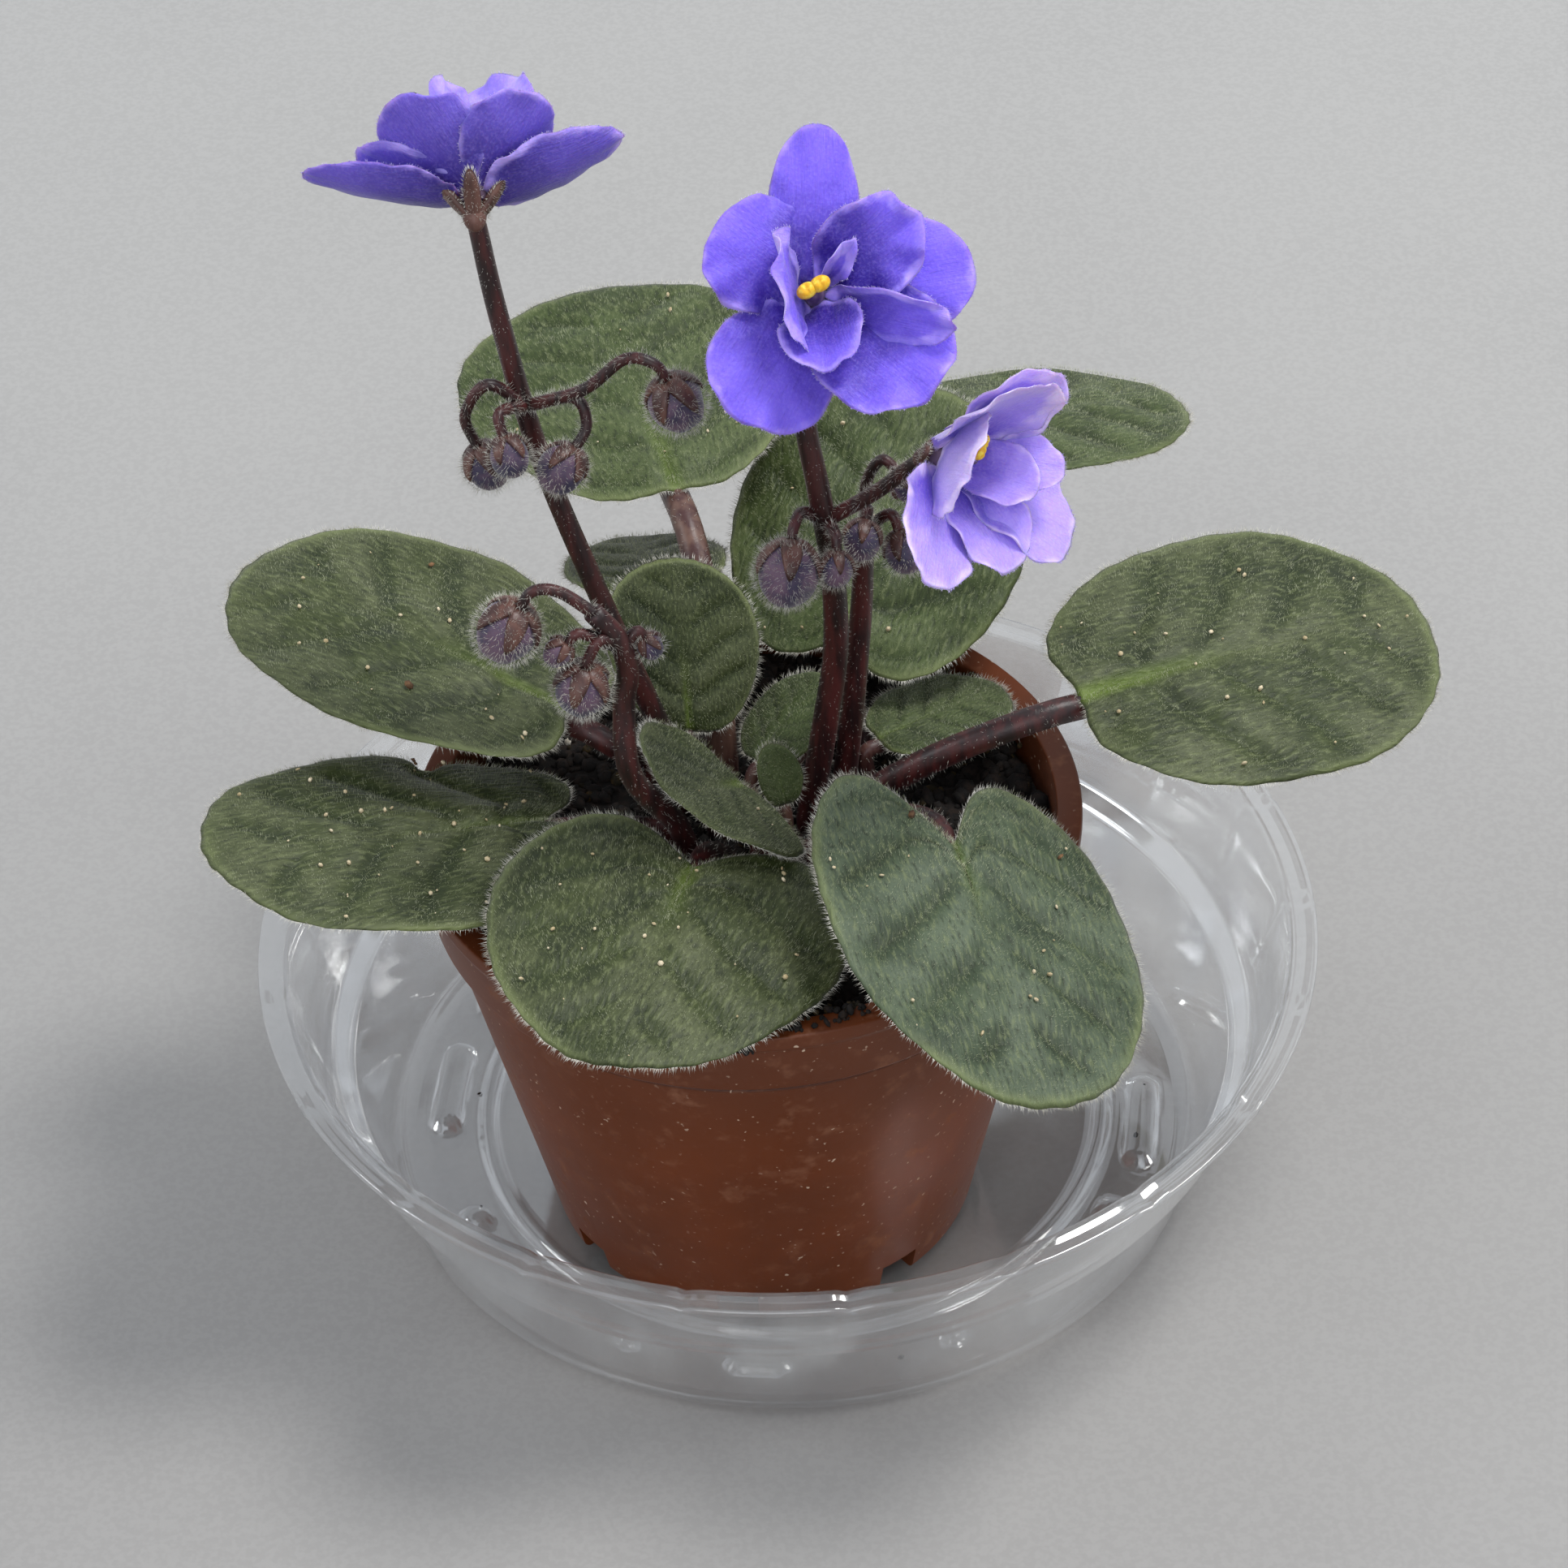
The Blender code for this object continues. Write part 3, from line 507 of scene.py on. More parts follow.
def tube(path, radius, tip_radius, sides=12):
    bm = bmesh.new()
    places = ring_places(path)
    shares = [i / (len(path) - 1) for i in range(len(path))]
    radii = [radius + (tip_radius - radius) * share for share in shares]
    ring = bmesh.ops.create_circle(bm, cap_ends=False, segments=sides, radius=1)["verts"]
    circle = [vert.co.copy() for vert in ring]
    edges = list(bm.edges)
    for step, (place, size) in enumerate(zip(places, radii)):
        if step:
            made = bmesh.ops.extrude_edge_only(bm, edges=edges)["geom"]
            ring = [part for part in made if isinstance(part, bmesh.types.BMVert)]
            edges = [part for part in made if isinstance(part, bmesh.types.BMEdge)
                     and part.is_boundary]
        for vert, round_co in zip(ring, circle):
            vert.co = place @ (round_co * size)
    bmesh.ops.holes_fill(bm, edges=[edge for edge in bm.edges if edge.is_boundary], sides=0)
    bmesh.ops.recalc_face_normals(bm, faces=bm.faces)
    return keep_mesh(bm)


# %% [markdown]
# ## Hairs and crumbs
#
# The plant's bloom of fine white hairs is what makes it look soft. Each hair is a tiny closed
# spike. One spike is modelled, an Array modifier copies it as often as there are hairs, and then
# each copy is put in its own place. Crumbs of soil are scattered in the same way.

# %% Helpers for scattered bits
HAIR_WIDTH = 0.042


def spike(width):
    """A hair one millimetre long, on its base at the origin."""
    bm = bmesh.new()
    bmesh.ops.create_cone(bm, cap_ends=True, segments=3, radius1=width / 2, radius2=0, depth=1)
    bmesh.ops.remove_doubles(bm, verts=bm.verts, dist=1e-6)
    bmesh.ops.translate(bm, verts=bm.verts, vec=(0, 0, 0.5))
    return bm


def crumb():
    bm = bmesh.new()
    bmesh.ops.create_icosphere(bm, subdivisions=1, radius=0.5)
    return bm


def scatter(template, turns, centres):
    """Copies the template once for each 3x3 turn and centre."""
    holder = add_object("bits", keep_mesh(template))
    copies = holder.modifiers.new("Copies", "ARRAY")
    copies.count = len(centres)
    copies.use_relative_offset = False
    one = read_points(holder.data)
    graph = bpy.context.evaluated_depsgraph_get()
    mesh = bpy.data.meshes.new_from_object(holder.evaluated_get(graph))
    bpy.data.objects.remove(holder)
    points = np.einsum("nij,vj->nvi", turns, one) + centres[:, None, :]
    mesh.vertices.foreach_set("co", points.ravel())
    return mesh


def hair_turns(directions, lengths):
    """A 3x3 turn for each hair that lays its Z axis along a direction, at its length."""
    z = unit(directions)
    helper = np.where(np.abs(z[:, :1]) < 0.7, [[1.0, 0, 0]], [[0, 1.0, 0]])
    x = unit(np.cross(helper, z))
    return np.stack([x, np.cross(z, x), z * lengths[:, None]], axis=2)


def hairs(roots, directions, low, high, spread, width=HAIR_WIDTH):
    """Hairs that stand on roots along directions, each leaning its own way."""
    leaning = directions + rng.normal(0, spread, roots.shape)
    lengths = rng.uniform(low, high, len(roots))
    return scatter(spike(width), hair_turns(leaning, lengths), roots)


def tube_hairs(path, radius, tip_radius, per_mm, low, high):
    """Hairs all round a stem."""
    path = np.array(path)
    lengths = np.linalg.norm(np.diff(path, axis=0), axis=1)
    count = max(4, int(lengths.sum() * per_mm))
    along = rng.uniform(0, lengths.sum(), count)
    ends = np.cumsum(lengths)
    part = np.minimum(np.searchsorted(ends, along), len(lengths) - 1)
    share = (along - (ends - lengths)[part]) / lengths[part]
    middle = path[part] + (path[part + 1] - path[part]) * share[:, None]
    ahead = (path[part + 1] - path[part]) / lengths[part][:, None]
    out = unit(np.cross(ahead, rng.normal(0, 1, (count, 3))))
    size = radius + (tip_radius - radius) * along / lengths.sum()
    return hairs(middle + out * size[:, None] * 0.97, out, low, high, 0.25)


# %% [markdown]
# ## The leaves
#
# A violet's leaf is heart-shaped and thick. Its side veins sink in and the flesh between them
# swells, so light falls in soft folds, and the whole face is covered with short white hairs that
# stand out as a pale fringe round the edge. The folds come from a formula over the same disc as
# the blade: one narrow furrow for the midrib, and curved ranks of furrows for the side veins.

# %% Folds and veins of a leaf
def fade(values, low, high):
    """0 below low, 1 above high, with a smooth rise between."""
    share = np.clip((values - low) / (high - low), 0, 1)
    return share * share * (3 - 2 * share)


def ripple(x, y, length, seed):
    """A smooth random swell between -1 and 1 whose waves are about length long."""
    waves = np.random.default_rng(seed)
    total = np.zeros_like(x)
    for _ in range(6):
        heading = waves.uniform(0, math.tau)
        pace = math.tau / (length * waves.uniform(0.7, 1.5))
        along = x * math.cos(heading) + y * math.sin(heading)
        total += np.sin(pace * along + waves.uniform(0, 6))
    return total / 3.5


MIDRIB_WIDTH = 0.06
MIDRIB_DEPTH = 0.6
VEIN_SPACING = 0.40
VEIN_DEPTH = 0.8


def veins(a, b, rho):
    """How deep a point lies in the midrib, and in a side vein, from 0 to 1."""
    midrib = np.exp(-(b / MIDRIB_WIDTH) ** 2) * (1 - fade(a, -0.5, 0.8))
    rank = (a + 1.05 - 0.80 * np.abs(b) + 0.25 * b * b) / VEIN_SPACING
    side = (1 - np.abs(np.sin(math.pi * rank))) ** 1.4
    return midrib, side * fade(np.abs(b), 0.0, 0.18) * (1 - fade(rho, 0.75, 1.0))


# %% [markdown]
# One leaf has a dry torn notch in its edge. The disc is pulled inwards there before the blade is
# drawn, so the tear has a rim like the rest of the edge. The seed says which leaf it is.

# %% Form of a leaf
TORN_SEED = 1
TEAR_TURN = math.radians(-106)
TEAR_WIDTH = 0.07
TEAR_DEPTH = 0.22
FULL_LENGTH = 38
SCALLOPS = 31
QUILTING = 0.06
QUILTING_LENGTH = 3.5
SWELL = 0.28
SWELL_LENGTH = 14.0


def leaf_shape(blade, seed):
    flatter = blade._replace(wave=0.5 * blade.wave)
    size = min(1.0, blade.length / FULL_LENGTH)

    def shape(a, b):
        turn = np.arctan2(b, a)
        scallop = 1 + 0.004 * np.hypot(a, b) ** 10 * np.sin(SCALLOPS * turn + seed)
        if seed == TORN_SEED:
            tear = np.exp(-((turn - TEAR_TURN) / TEAR_WIDTH) ** 2)
            scallop -= TEAR_DEPTH * np.hypot(a, b) ** 8 * tear
        points, rho, _ = blade_form(flatter, a * scallop, b * scallop)
        midrib, side = veins(a, b, rho)
        lift = -MIDRIB_DEPTH * midrib - VEIN_DEPTH * side
        lift += 0.55 * np.exp(-((np.abs(b) - 0.16) / 0.1) ** 2) * (1 - fade(a, 0.1, 0.9))
        lift += QUILTING * ripple(points[:, 0], points[:, 1], QUILTING_LENGTH, seed)
        lift += SWELL * ripple(points[:, 0], points[:, 1], SWELL_LENGTH, seed + 1)
        points[:, 2] += size * lift * (1 - 0.6 * fade(rho, 0.8, 1.0))
        return points

    return shape


def leaf_marks(a, b):
    return np.stack([a, b, veins(a, b, np.hypot(a, b))[1]], axis=1)


# %% [markdown]
# The leaf's finish mixes two greens in soft clouds, lays a painted silvery sheen on the swellings
# as a highlight, and paints shade into the furrows as a deeper green. The midrib is yellow-green
# near the stem, and the rim is pale.
# A fine nap, drawn out along the blade, stands for the down between the hairs. The underside
# and the stems are burgundy.

# %% Leaf finishes
PALE_RIM = (122, 132, 84)


def leaf_finish(name, deep, pale, painted_sheen_colour, glow=0.65):
    finish = Finish(name, Roughness=0.55, Sheen_Weight=0.08, Sheen_Roughness=0.4,
                    Specular_IOR_Level=0.35)
    along, aside, side = finish.spot()
    nap = finish.noise(1.0, 2, vector=finish.drawn_along(along, aside, 15, 34))
    colour = finish.mix(finish.clouds(170, 0.3, 0.7, detail=2), deep, pale)
    # Painted highlight: a silvery sheen on the swellings between the side veins.
    bloom = finish.clouds(95, 0.35, 0.65, 0.05, 0.65, 2)
    painted_sheen_share = finish.between(side, 0.02, 0.45, 1, 0.2)
    colour = finish.mix(finish.times(bloom, painted_sheen_share), colour, painted_sheen_colour)
    patchy = finish.clouds(42, 0.38, 0.60, 0.1, 0.75, 1)
    # Painted shade: the furrows of the side veins turn a deeper green, in patches.
    painted_furrow_shade = finish.times(finish.between(side, 0.2, 0.95), patchy)
    colour = finish.mix(painted_furrow_shade, colour, (30, 42, 14))
    colour = finish.mix(finish.between(nap, 0.50, 0.72, 0, 0.45), colour, (116, 124, 84))
    colour = finish.mix(finish.between(nap, 0.30, 0.46, 0.6, 0), colour, (22, 32, 10))
    beside = finish.between(finish.combine("ABSOLUTE", aside), 0.02, 0.12, glow, 0)
    near_stem = finish.between(along, -1.0, 0.2, 1, 0)
    colour = finish.mix(finish.times(beside, near_stem), colour, (104, 126, 40))
    rim = finish.between(finish.reach(along, aside), 0.92, 1.0, 0, 0.8)
    finish.emboss(nap, 0.25, 0.8)
    return finish.done(finish.mix(finish.times(rim, patchy), colour, PALE_RIM))


def underside_finish():
    finish = Finish("leaf_underside", Roughness=0.5, Sheen_Weight=0.05)
    along, aside, _ = finish.spot()
    colour = finish.mix(finish.clouds(420, 0.35, 0.7), (70, 28, 30), (96, 60, 50))
    rim = finish.between(finish.reach(along, aside), 0.88, 0.96)
    finish.emboss(finish.noise(1600, 2), 0.08, 0.6)
    return finish.done(finish.mix(rim, colour, PALE_RIM))


def stem_finish(name, dark, light):
    finish = Finish(name, Roughness=0.42, Sheen_Weight=0.03)
    streaks = finish.between(finish.noise(600, vector=finish.drawn_up(0.2)), 0.35, 0.7)
    finish.emboss(finish.noise(1600, 2), 0.06, 0.6)
    return finish.done(finish.mix(streaks, dark, light))


def hair_finish(name, dull, bright):
    return two_tone(name, dull, bright, (300, 0.3, 0.7), Roughness=0.5, Specular_IOR_Level=0.4)


# The third colour of each finish is its painted sheen.
LEAF_FINISHES = {
    "dark": leaf_finish("leaf_dark", (32, 42, 12), (52, 62, 24), (84, 90, 60)),
    "blue": leaf_finish("leaf_blue", (42, 56, 36), (62, 76, 52), (92, 104, 84)),
    "fresh": leaf_finish("leaf_fresh", (40, 52, 16), (58, 72, 30), (80, 92, 54), 0.35),
}
UNDERSIDE = underside_finish()
STEM = stem_finish("stem_burgundy", (28, 6, 7), (72, 26, 24))
PALE_STEM = stem_finish("stem_pale", (66, 34, 32), (104, 76, 64))
HAIR = hair_finish("hair", (186, 182, 168), (236, 234, 224))
LEAF_HAIR = hair_finish("leaf_hair", (134, 142, 100), (204, 208, 176))
print("leaf finishes:", ", ".join(LEAF_FINISHES))

# %% [markdown]
# Each leaf is a blade at the end of its own stem. The table gives the place where the blade
# starts, its heading, pitch and bank, the blade's measures, the point where the stem enters the
# soil, the stem's radius and the tint.

# %% Leaf table
Leaf = namedtuple("Leaf", "base heading pitch bank blade root radius tint")
LEAVES = {
    "leaf_left_back": Leaf((-20.5, 4.7, 74), 147, 10, 3,
        Blade(46, 35, 0.22, -0.12, 0.0, 3, 0, 0.5), (-8.6, 7.0), 1.7, "dark"),
    "leaf_left_front": Leaf((-23.8, -3.4, 64), 202, 17, 0,
        Blade(42, 33, 0.42, -0.18, -0.05, 3, -1, 0.6), (-8.0, 0.0), 1.6, "dark"),
    "leaf_front_left": Leaf((-6.3, -16.0, 67.4), 251, 6, -7,
        Blade(34, 41, 0.45, 0.18, -0.04, 4, -2, 0.6), (-2.5, -6.4), 1.6, "dark"),
    "leaf_front_right": Leaf((23.5, -17.3, 70), 284, -6, -20,
        Blade(38, 38.5, 0.58, 0.0, 0.03, 4, -1, 0.5), (6.5, -5.0), 1.6, "blue"),
    "leaf_right": Leaf((39.4, -2.0, 78), 20, 1, 8,
        Blade(45.5, 40.5, 0.15, -0.06, 0.0, 4, -1, 0.6), (11.0, 0.6), 1.8, "dark"),
    "leaf_back_left": Leaf((-6.5, 31.0, 86), 104, 7, -1,
        Blade(41, 41, 0.10, -0.25, 0.0, 3, -2, 0.4), (-2.6, 12.6), 1.9, "fresh"),
    "leaf_back_right": Leaf((23.6, 52.0, 76.5), 26, -7, -12,
        Blade(38, 34, 0.20, 0.0, 0.0, 3, -1, 0.4), (14.2, 13.4), 1.5, "fresh"),
    "leaf_middle_back": Leaf((12.3, 20.4, 68.8), 68, 29, 0,
        Blade(37, 37.5, 0.27, -0.07, 0.04, 2, -1, 0.4), (4.6, 10.6), 1.7, "fresh"),
    "leaf_small_upright": Leaf((-6.4, 9.0, 66.4), 93, 62, 4,
        Blade(21, 18.2, 0.10, -0.14, 0.10, 1, 0, 0.3), (-5.2, 5.6), 1.2, "dark"),
    "leaf_small_front": Leaf((-0.2, -2.6, 67.4), 236, 34, -21,
        Blade(16.5, 24, 0.22, 0.25, 0.0, 1, 0, 0.3), (1.2, -2.2), 1.2, "dark"),
    "leaf_centre": Leaf((1.4, 7.4, 62.6), 44, 30, -10,
        Blade(13.5, 12.0, 0.10, 0.0, 0.0, 1, 0, 0.2), (0.6, 6.0), 1.0, "fresh"),
    "leaf_small_right": Leaf((16.2, 9.4, 63.3), 28, 2, -4,
        Blade(18.0, 15.5, 0.10, 0.0, 0.0, 1, 0, 0.3), (15.2, 8.8), 1.1, "fresh"),
    "leaf_back_sliver": Leaf((-9.6, 25.0, 75), 98, -16, 0,
        Blade(24, 20, 0.12, 0.0, 0.0, 2, 0, 0.3), (-8.0, 12.6), 1.4, "dark"),
    "leaf_young": Leaf((4.6, 0.4, 61.5), 112, 58, 0,
        Blade(7.5, 5.6, 0.10, 0.0, 0.0, 0.5, 1.0, 0.1), (4.6, 0.4), 0.9, "fresh"),
}

# %% [markdown]
# A leaf's stem leaves the soil steeply and bends over to meet the blade from behind, along a
# Bezier curve. Hairs stand on the blade's upper face, thinly under it, and as a fringe round its
# edge, where they matter most because they are seen against the dark soil.

# %% Leaves
SOIL_TOP = 55.7
ROOT_HEIGHT = SOIL_TOP + 1.0
STEM_DEPTH = 6.0
STEM_RISE = 0.18
STEM_TAPER = 0.9
STEM_STEPS = 12
LEAF_THICKNESS = 1.0
AREA_SHARE = 0.78           # of the blade's length times its width
EDGE_SHARE = 1.6            # of the blade's length plus its width
UPPER_HAIRS = 7             # for each square millimetre
LOWER_HAIRS = 0.6
FRINGE_HAIRS = 12.0         # for each millimetre
STEM_HAIRS = 16


def leaf_stem_path(leaf, place):
    seat = place @ Vector((0.16 * leaf.blade.length, 0, -1.3 * leaf.radius))
    end = place @ Vector((-0.06 * leaf.blade.length, 0, -0.8 * leaf.radius))
    root = Vector((*leaf.root, ROOT_HEIGHT))
    rise = (end - root).length
    behind = end - (place.to_3x3() @ Vector((1, 0, 0))) * rise * 0.35
    knee = root + Vector((0, 0, STEM_RISE * rise))
    path = [root - Vector((0, 0, STEM_DEPTH)), root]
    for i in range(1, STEM_STEPS + 1):
        t = i / STEM_STEPS
        s = 1 - t
        path.append(s ** 3 * root + 3 * s * s * t * knee + 3 * s * t * t * behind + t ** 3 * end)
    return [*path, seat]


def around(reach, turn):
    return reach * np.cos(turn), reach * np.sin(turn)


def sheet_hairs(shape, place, per_mm2, area, low, high, side=1):
    """Hairs on one face of a sheet, leaning a little outwards."""
    count = int(per_mm2 * area)
    rho = np.sqrt(rng.uniform(0, 0.98, count))
    a, b = around(rho, rng.uniform(-math.pi, math.pi, count))
    normal = side * normals_of(shape, a, b)
    root = shape(a, b) + normal * LEAF_THICKNESS * 0.42
    out = unit(root - shape(np.zeros(1), np.zeros(1)))
    return hairs(moved(place, root), turned(place, normal + 0.2 * out), low, high, 0.2)


def fringe(shape, place, per_mm, length, low, high):
    """Hairs that stand out round the edge of a sheet."""
    count = int(per_mm * length)
    a, b = around(1, rng.uniform(-math.pi, math.pi, count))
    edge = shape(a, b)
    out = unit(edge - shape(0.96 * a, 0.96 * b))
    lean = out + normals_of(shape, a, b) * rng.uniform(-0.5, 0.9, (count, 1))
    return hairs(moved(place, edge), turned(place, lean), low, high, 0.2, 1.4 * HAIR_WIDTH)


def leaf_piece(name, leaf, seed):
    place = heading_matrix(*leaf[:4])
    shape = leaf_shape(leaf.blade, seed)
    length, width = leaf.blade[:2]
    cells = 60 if length > 28 else 36 if length > 12 else 16
    area = AREA_SHARE * length * width
    edge = EDGE_SHARE * (length + width)
    stem = (leaf_stem_path(leaf, place), leaf.radius, STEM_TAPER * leaf.radius)
    meshes = [
        (sheet(shape, leaf_marks, place, cells, LEAF_THICKNESS, (0, 1)), None),
        (tube(*stem), 2),
        (sheet_hairs(shape, place, UPPER_HAIRS, area, 0.3, 0.75), 3),
        (sheet_hairs(shape, place, LOWER_HAIRS, area, 0.3, 0.7, -1), 3),
        (fringe(shape, place, FRINGE_HAIRS, edge, 0.3, 1.2), 4),
        (tube_hairs(stem[0][1:], *stem[1:], STEM_HAIRS, 0.3, 0.8), 4),
    ]
    finishes = [LEAF_FINISHES[leaf.tint], UNDERSIDE,
                PALE_STEM if leaf.tint == "fresh" else STEM, LEAF_HAIR, HAIR]
    assemble(name + "_furry", meshes, finishes, [name])


for seed, (name, leaf) in enumerate(LEAVES.items()):
    leaf_piece(name, leaf, seed)
print("leaves:", len(LEAVES))

# %% [markdown]
# Bits of dry potting mix lie on the open leaves, because the hairs hold whatever falls on them.
# They are the same crumbs as the soil's, small and cream, with a few larger brown ones.

# %% Debris on the leaves
def crumb_finish(name, dark, light, rough=0.9):
    return two_tone(name, dark, light, (900, 0.4, 0.7, 0, 1, 4), (700, 5, 0.5, 0.9),
                    Roughness=rough)


def random_turns(count, low, high):
    """Turns that also stretch each crumb to its own size."""
    turns = np.linalg.qr(rng.normal(0, 1, (count, 3, 3)))[0]
    sizes = rng.uniform(low, high, (count, 1)) * rng.uniform(0.5, 1.5, (count, 3))
    return turns * sizes[:, None, :], sizes.mean(axis=1)


def laid(name, rho, turn, low, high):
    """Crumbs that lie on one leaf's upper face, at given places of its disc."""
    leaf = LEAVES[name]
    shape = leaf_shape(leaf.blade, list(LEAVES).index(name))
    a, b = around(rho, turn)
    turns, sizes = random_turns(len(rho), low, high)
    spots = shape(a, b) + normals_of(shape, a, b) * (0.6 * LEAF_THICKNESS + 0.3 * sizes[:, None])
    return scatter(crumb(), turns, moved(heading_matrix(*leaf[:4]), spots))


def leaf_bits(name, count, low, high):
    rho, turn = np.sqrt(rng.uniform(0, 0.9, count)), rng.uniform(-math.pi, math.pi, count)
    return laid(name, rho, turn, low, high)


TORN_LEAF = list(LEAVES)[TORN_SEED]


def tear_bits(count, low, high):
    """The dry brown edge of the torn leaf."""
    turn = TEAR_TURN + TEAR_WIDTH * rng.uniform(-1.2, 1.2, count)
    return laid(TORN_LEAF, rng.uniform(0.95, 0.99, count), turn, low, high)


BITS = {"leaf_left_back": 22, "leaf_left_front": 46, "leaf_front_left": 26, "leaf_front_right": 16,
        "leaf_right": 26, "leaf_back_left": 10, "leaf_middle_back": 10, "leaf_small_front": 4}
CREAM = crumb_finish("debris_cream", (176, 158, 120), (226, 212, 182), 0.8)
BROWN = crumb_finish("debris_brown", (70, 46, 28), (126, 92, 58), 0.8)
meshes = [(leaf_bits(name, count, 0.2, 0.6), 0) for name, count in BITS.items()]
meshes += [(leaf_bits(name, 2, 0.6, 1.3), 1) for name in ("leaf_left_back", "leaf_front_right")]
meshes += [(tear_bits(36, 0.25, 0.55), 1), (tear_bits(16, 0.25, 0.5), 0)]
assemble("leaf_debris", meshes, [CREAM, BROWN])

# %% [markdown]
# ## Flower stalks and buds
#
# Each stalk rises from the soil, parts into thin stems, and ends in nodding buds. A closed bud
# is a plump ball of folded petals held by five narrow sepals that grip its upper half. The ball
# is a sphere drawn a little long with five shallow folds, and each sepal is a sheet that is bent
# over it. Dense hairs make the buds look frosted.

# %% Bud finishes
BUD = two_tone("bud_petals", (44, 36, 66), (98, 72, 92), (330, 0.35, 0.65),
               (1400, 2, 0.08, 0.6), Roughness=0.55, Sheen_Weight=0.3,
               Subsurface_Weight=0.15, Subsurface_Scale=0.001)
SEPAL_BROWN = stem_finish("sepal_brown", (58, 30, 26), (98, 64, 54))

# %% [markdown]
# The table gives each stalk as points along its middle, its radius at the foot and at the tip,
# and its buds: the points of each bud's thin stem, and the bud's radius.

# %% Stalk and bud table
Spray = namedtuple("Spray", "stalk radius tip_radius buds")
SPRAYS = {
    "spray_left": Spray(
        [(-3.6, 2.6, 56), (-9.2, 4.8, 68.8), (-15.6, 4.4, 90.6), (-21.5, 5.5, 111.6),
         (-24.8, 6, 130.6), (-26.2, 6, 142.2), (-26.5, 6.3, 144.2)], 1.4, 1.0,
        [([(-22.2, 5, 119), (-15.8, 2, 123), (-11, 1, 127.6), (-7.6, 0, 127.3),
           (-6.5, 0, 124.8)], 3.3),
         ([(-22.2, 5, 119), (-17.0, 3, 121.2), (-15.8, 1.5, 118.4), (-17.4, 0.2, 116)], 2.8),
         ([(-22.6, 5, 119), (-26.6, 3.8, 123), (-29.4, 3.6, 119), (-28.2, 3.2, 114.6)], 2.7),
         ([(-22.6, 5, 119), (-25.4, 1.0, 121), (-25.0, -0.6, 118.6)], 2.3)]),
    "spray_centre": Spray(
        [(7.4, 3.2, 56), (9.6, 3.9, 69.7), (11.3, 4, 82.1), (11.2, 3.5, 94.7),
         (9.9, 2.6, 107), (8.7, 2.4, 117), (9.2, 2.7, 127), (10.0, 1.8, 133.7)], 1.6, 1.1,
        [([(10.5, 3, 102), (8.0, 1.5, 104.6), (6.9, -0.4, 104), (6.5, -1.5, 102.4)], 3.7),
         ([(10.5, 3, 102), (11.6, -0.6, 102.8), (11.6, -1.9, 101)], 2.0)]),
    "spray_back": Spray(
        [(11.6, 6.8, 56), (13.0, 7.8, 68), (14.5, 8.8, 82.8), (15.0, 9, 90.8),
         (15.3, 8.6, 97)], 1.5, 1.1,
        [([(15.3, 8.6, 96), (15.6, 8.4, 103), (17.4, 7.2, 107.2), (19.2, 6.2, 106)], 2.2),
         ([(15.3, 8.6, 96), (15.6, 6.6, 100.6), (15.2, 5.4, 99.6)], 2.3),
         ([(15.3, 8.6, 96), (18.2, 6.8, 99.6), (19.2, 5.6, 97.6)], 2.5)]),
    "spray_front": Spray(
        [(-6.2, -4.6, 56), (-8.4, -8.0, 67.0), (-13.1, -13.8, 79.6), (-13.4, -13.0, 89.2),
         (-12.7, -13.1, 94.3), (-13.5, -13.6, 99.6), (-16.1, -14, 104)], 1.4, 1.2,
        [([(-15.6, -13.9, 103.4), (-19.6, -14, 107.1), (-22.6, -14, 107.4),
           (-24.3, -14, 104.8)], 3.6),
         ([(-13.4, -13.4, 98.6), (-15.4, -15.2, 101), (-16.9, -16, 99), (-17.3, -16, 97.4)], 3.2),
         ([(-13.2, -13.3, 98), (-17.5, -15.2, 102), (-19.3, -15.4, 100.8)], 1.7),
         ([(-13.2, -13.3, 98), (-11.4, -12.8, 100), (-10.6, -12.6, 98.8)], 1.6)]),
}
CARRIED = {"spray_left": ["left"], "spray_centre": ["top", "right"]}
THIN_STEM = 0.75
BRANCH = [(10.5, 3, 102), (16.4, 0.2, 108), (20, -3, 113.6), (21.6, -4.6, 116.0)]
BRANCH_RADIUS = 0.9
BRANCHING_SPRAY = "spray_centre"
print("buds:", sum(len(spray.buds) for spray in SPRAYS.values()))

# %% [markdown]
# ## The flowers
#
# A double flower is a crowd of petals in layers round a short throat. Every petal is a sheet
# like a leaf's, only thinner, with a frilled edge: waves that grow towards the rim, each petal
# with its own. The colour runs from deep violet at the throat to a lilac margin, in fine streaks.
#
# The table gives each bloom's centre, the way it faces and its upward side, and one row for each
# petal. A petal's last two numbers, where it has them, make its margin paler and its tone lighter.

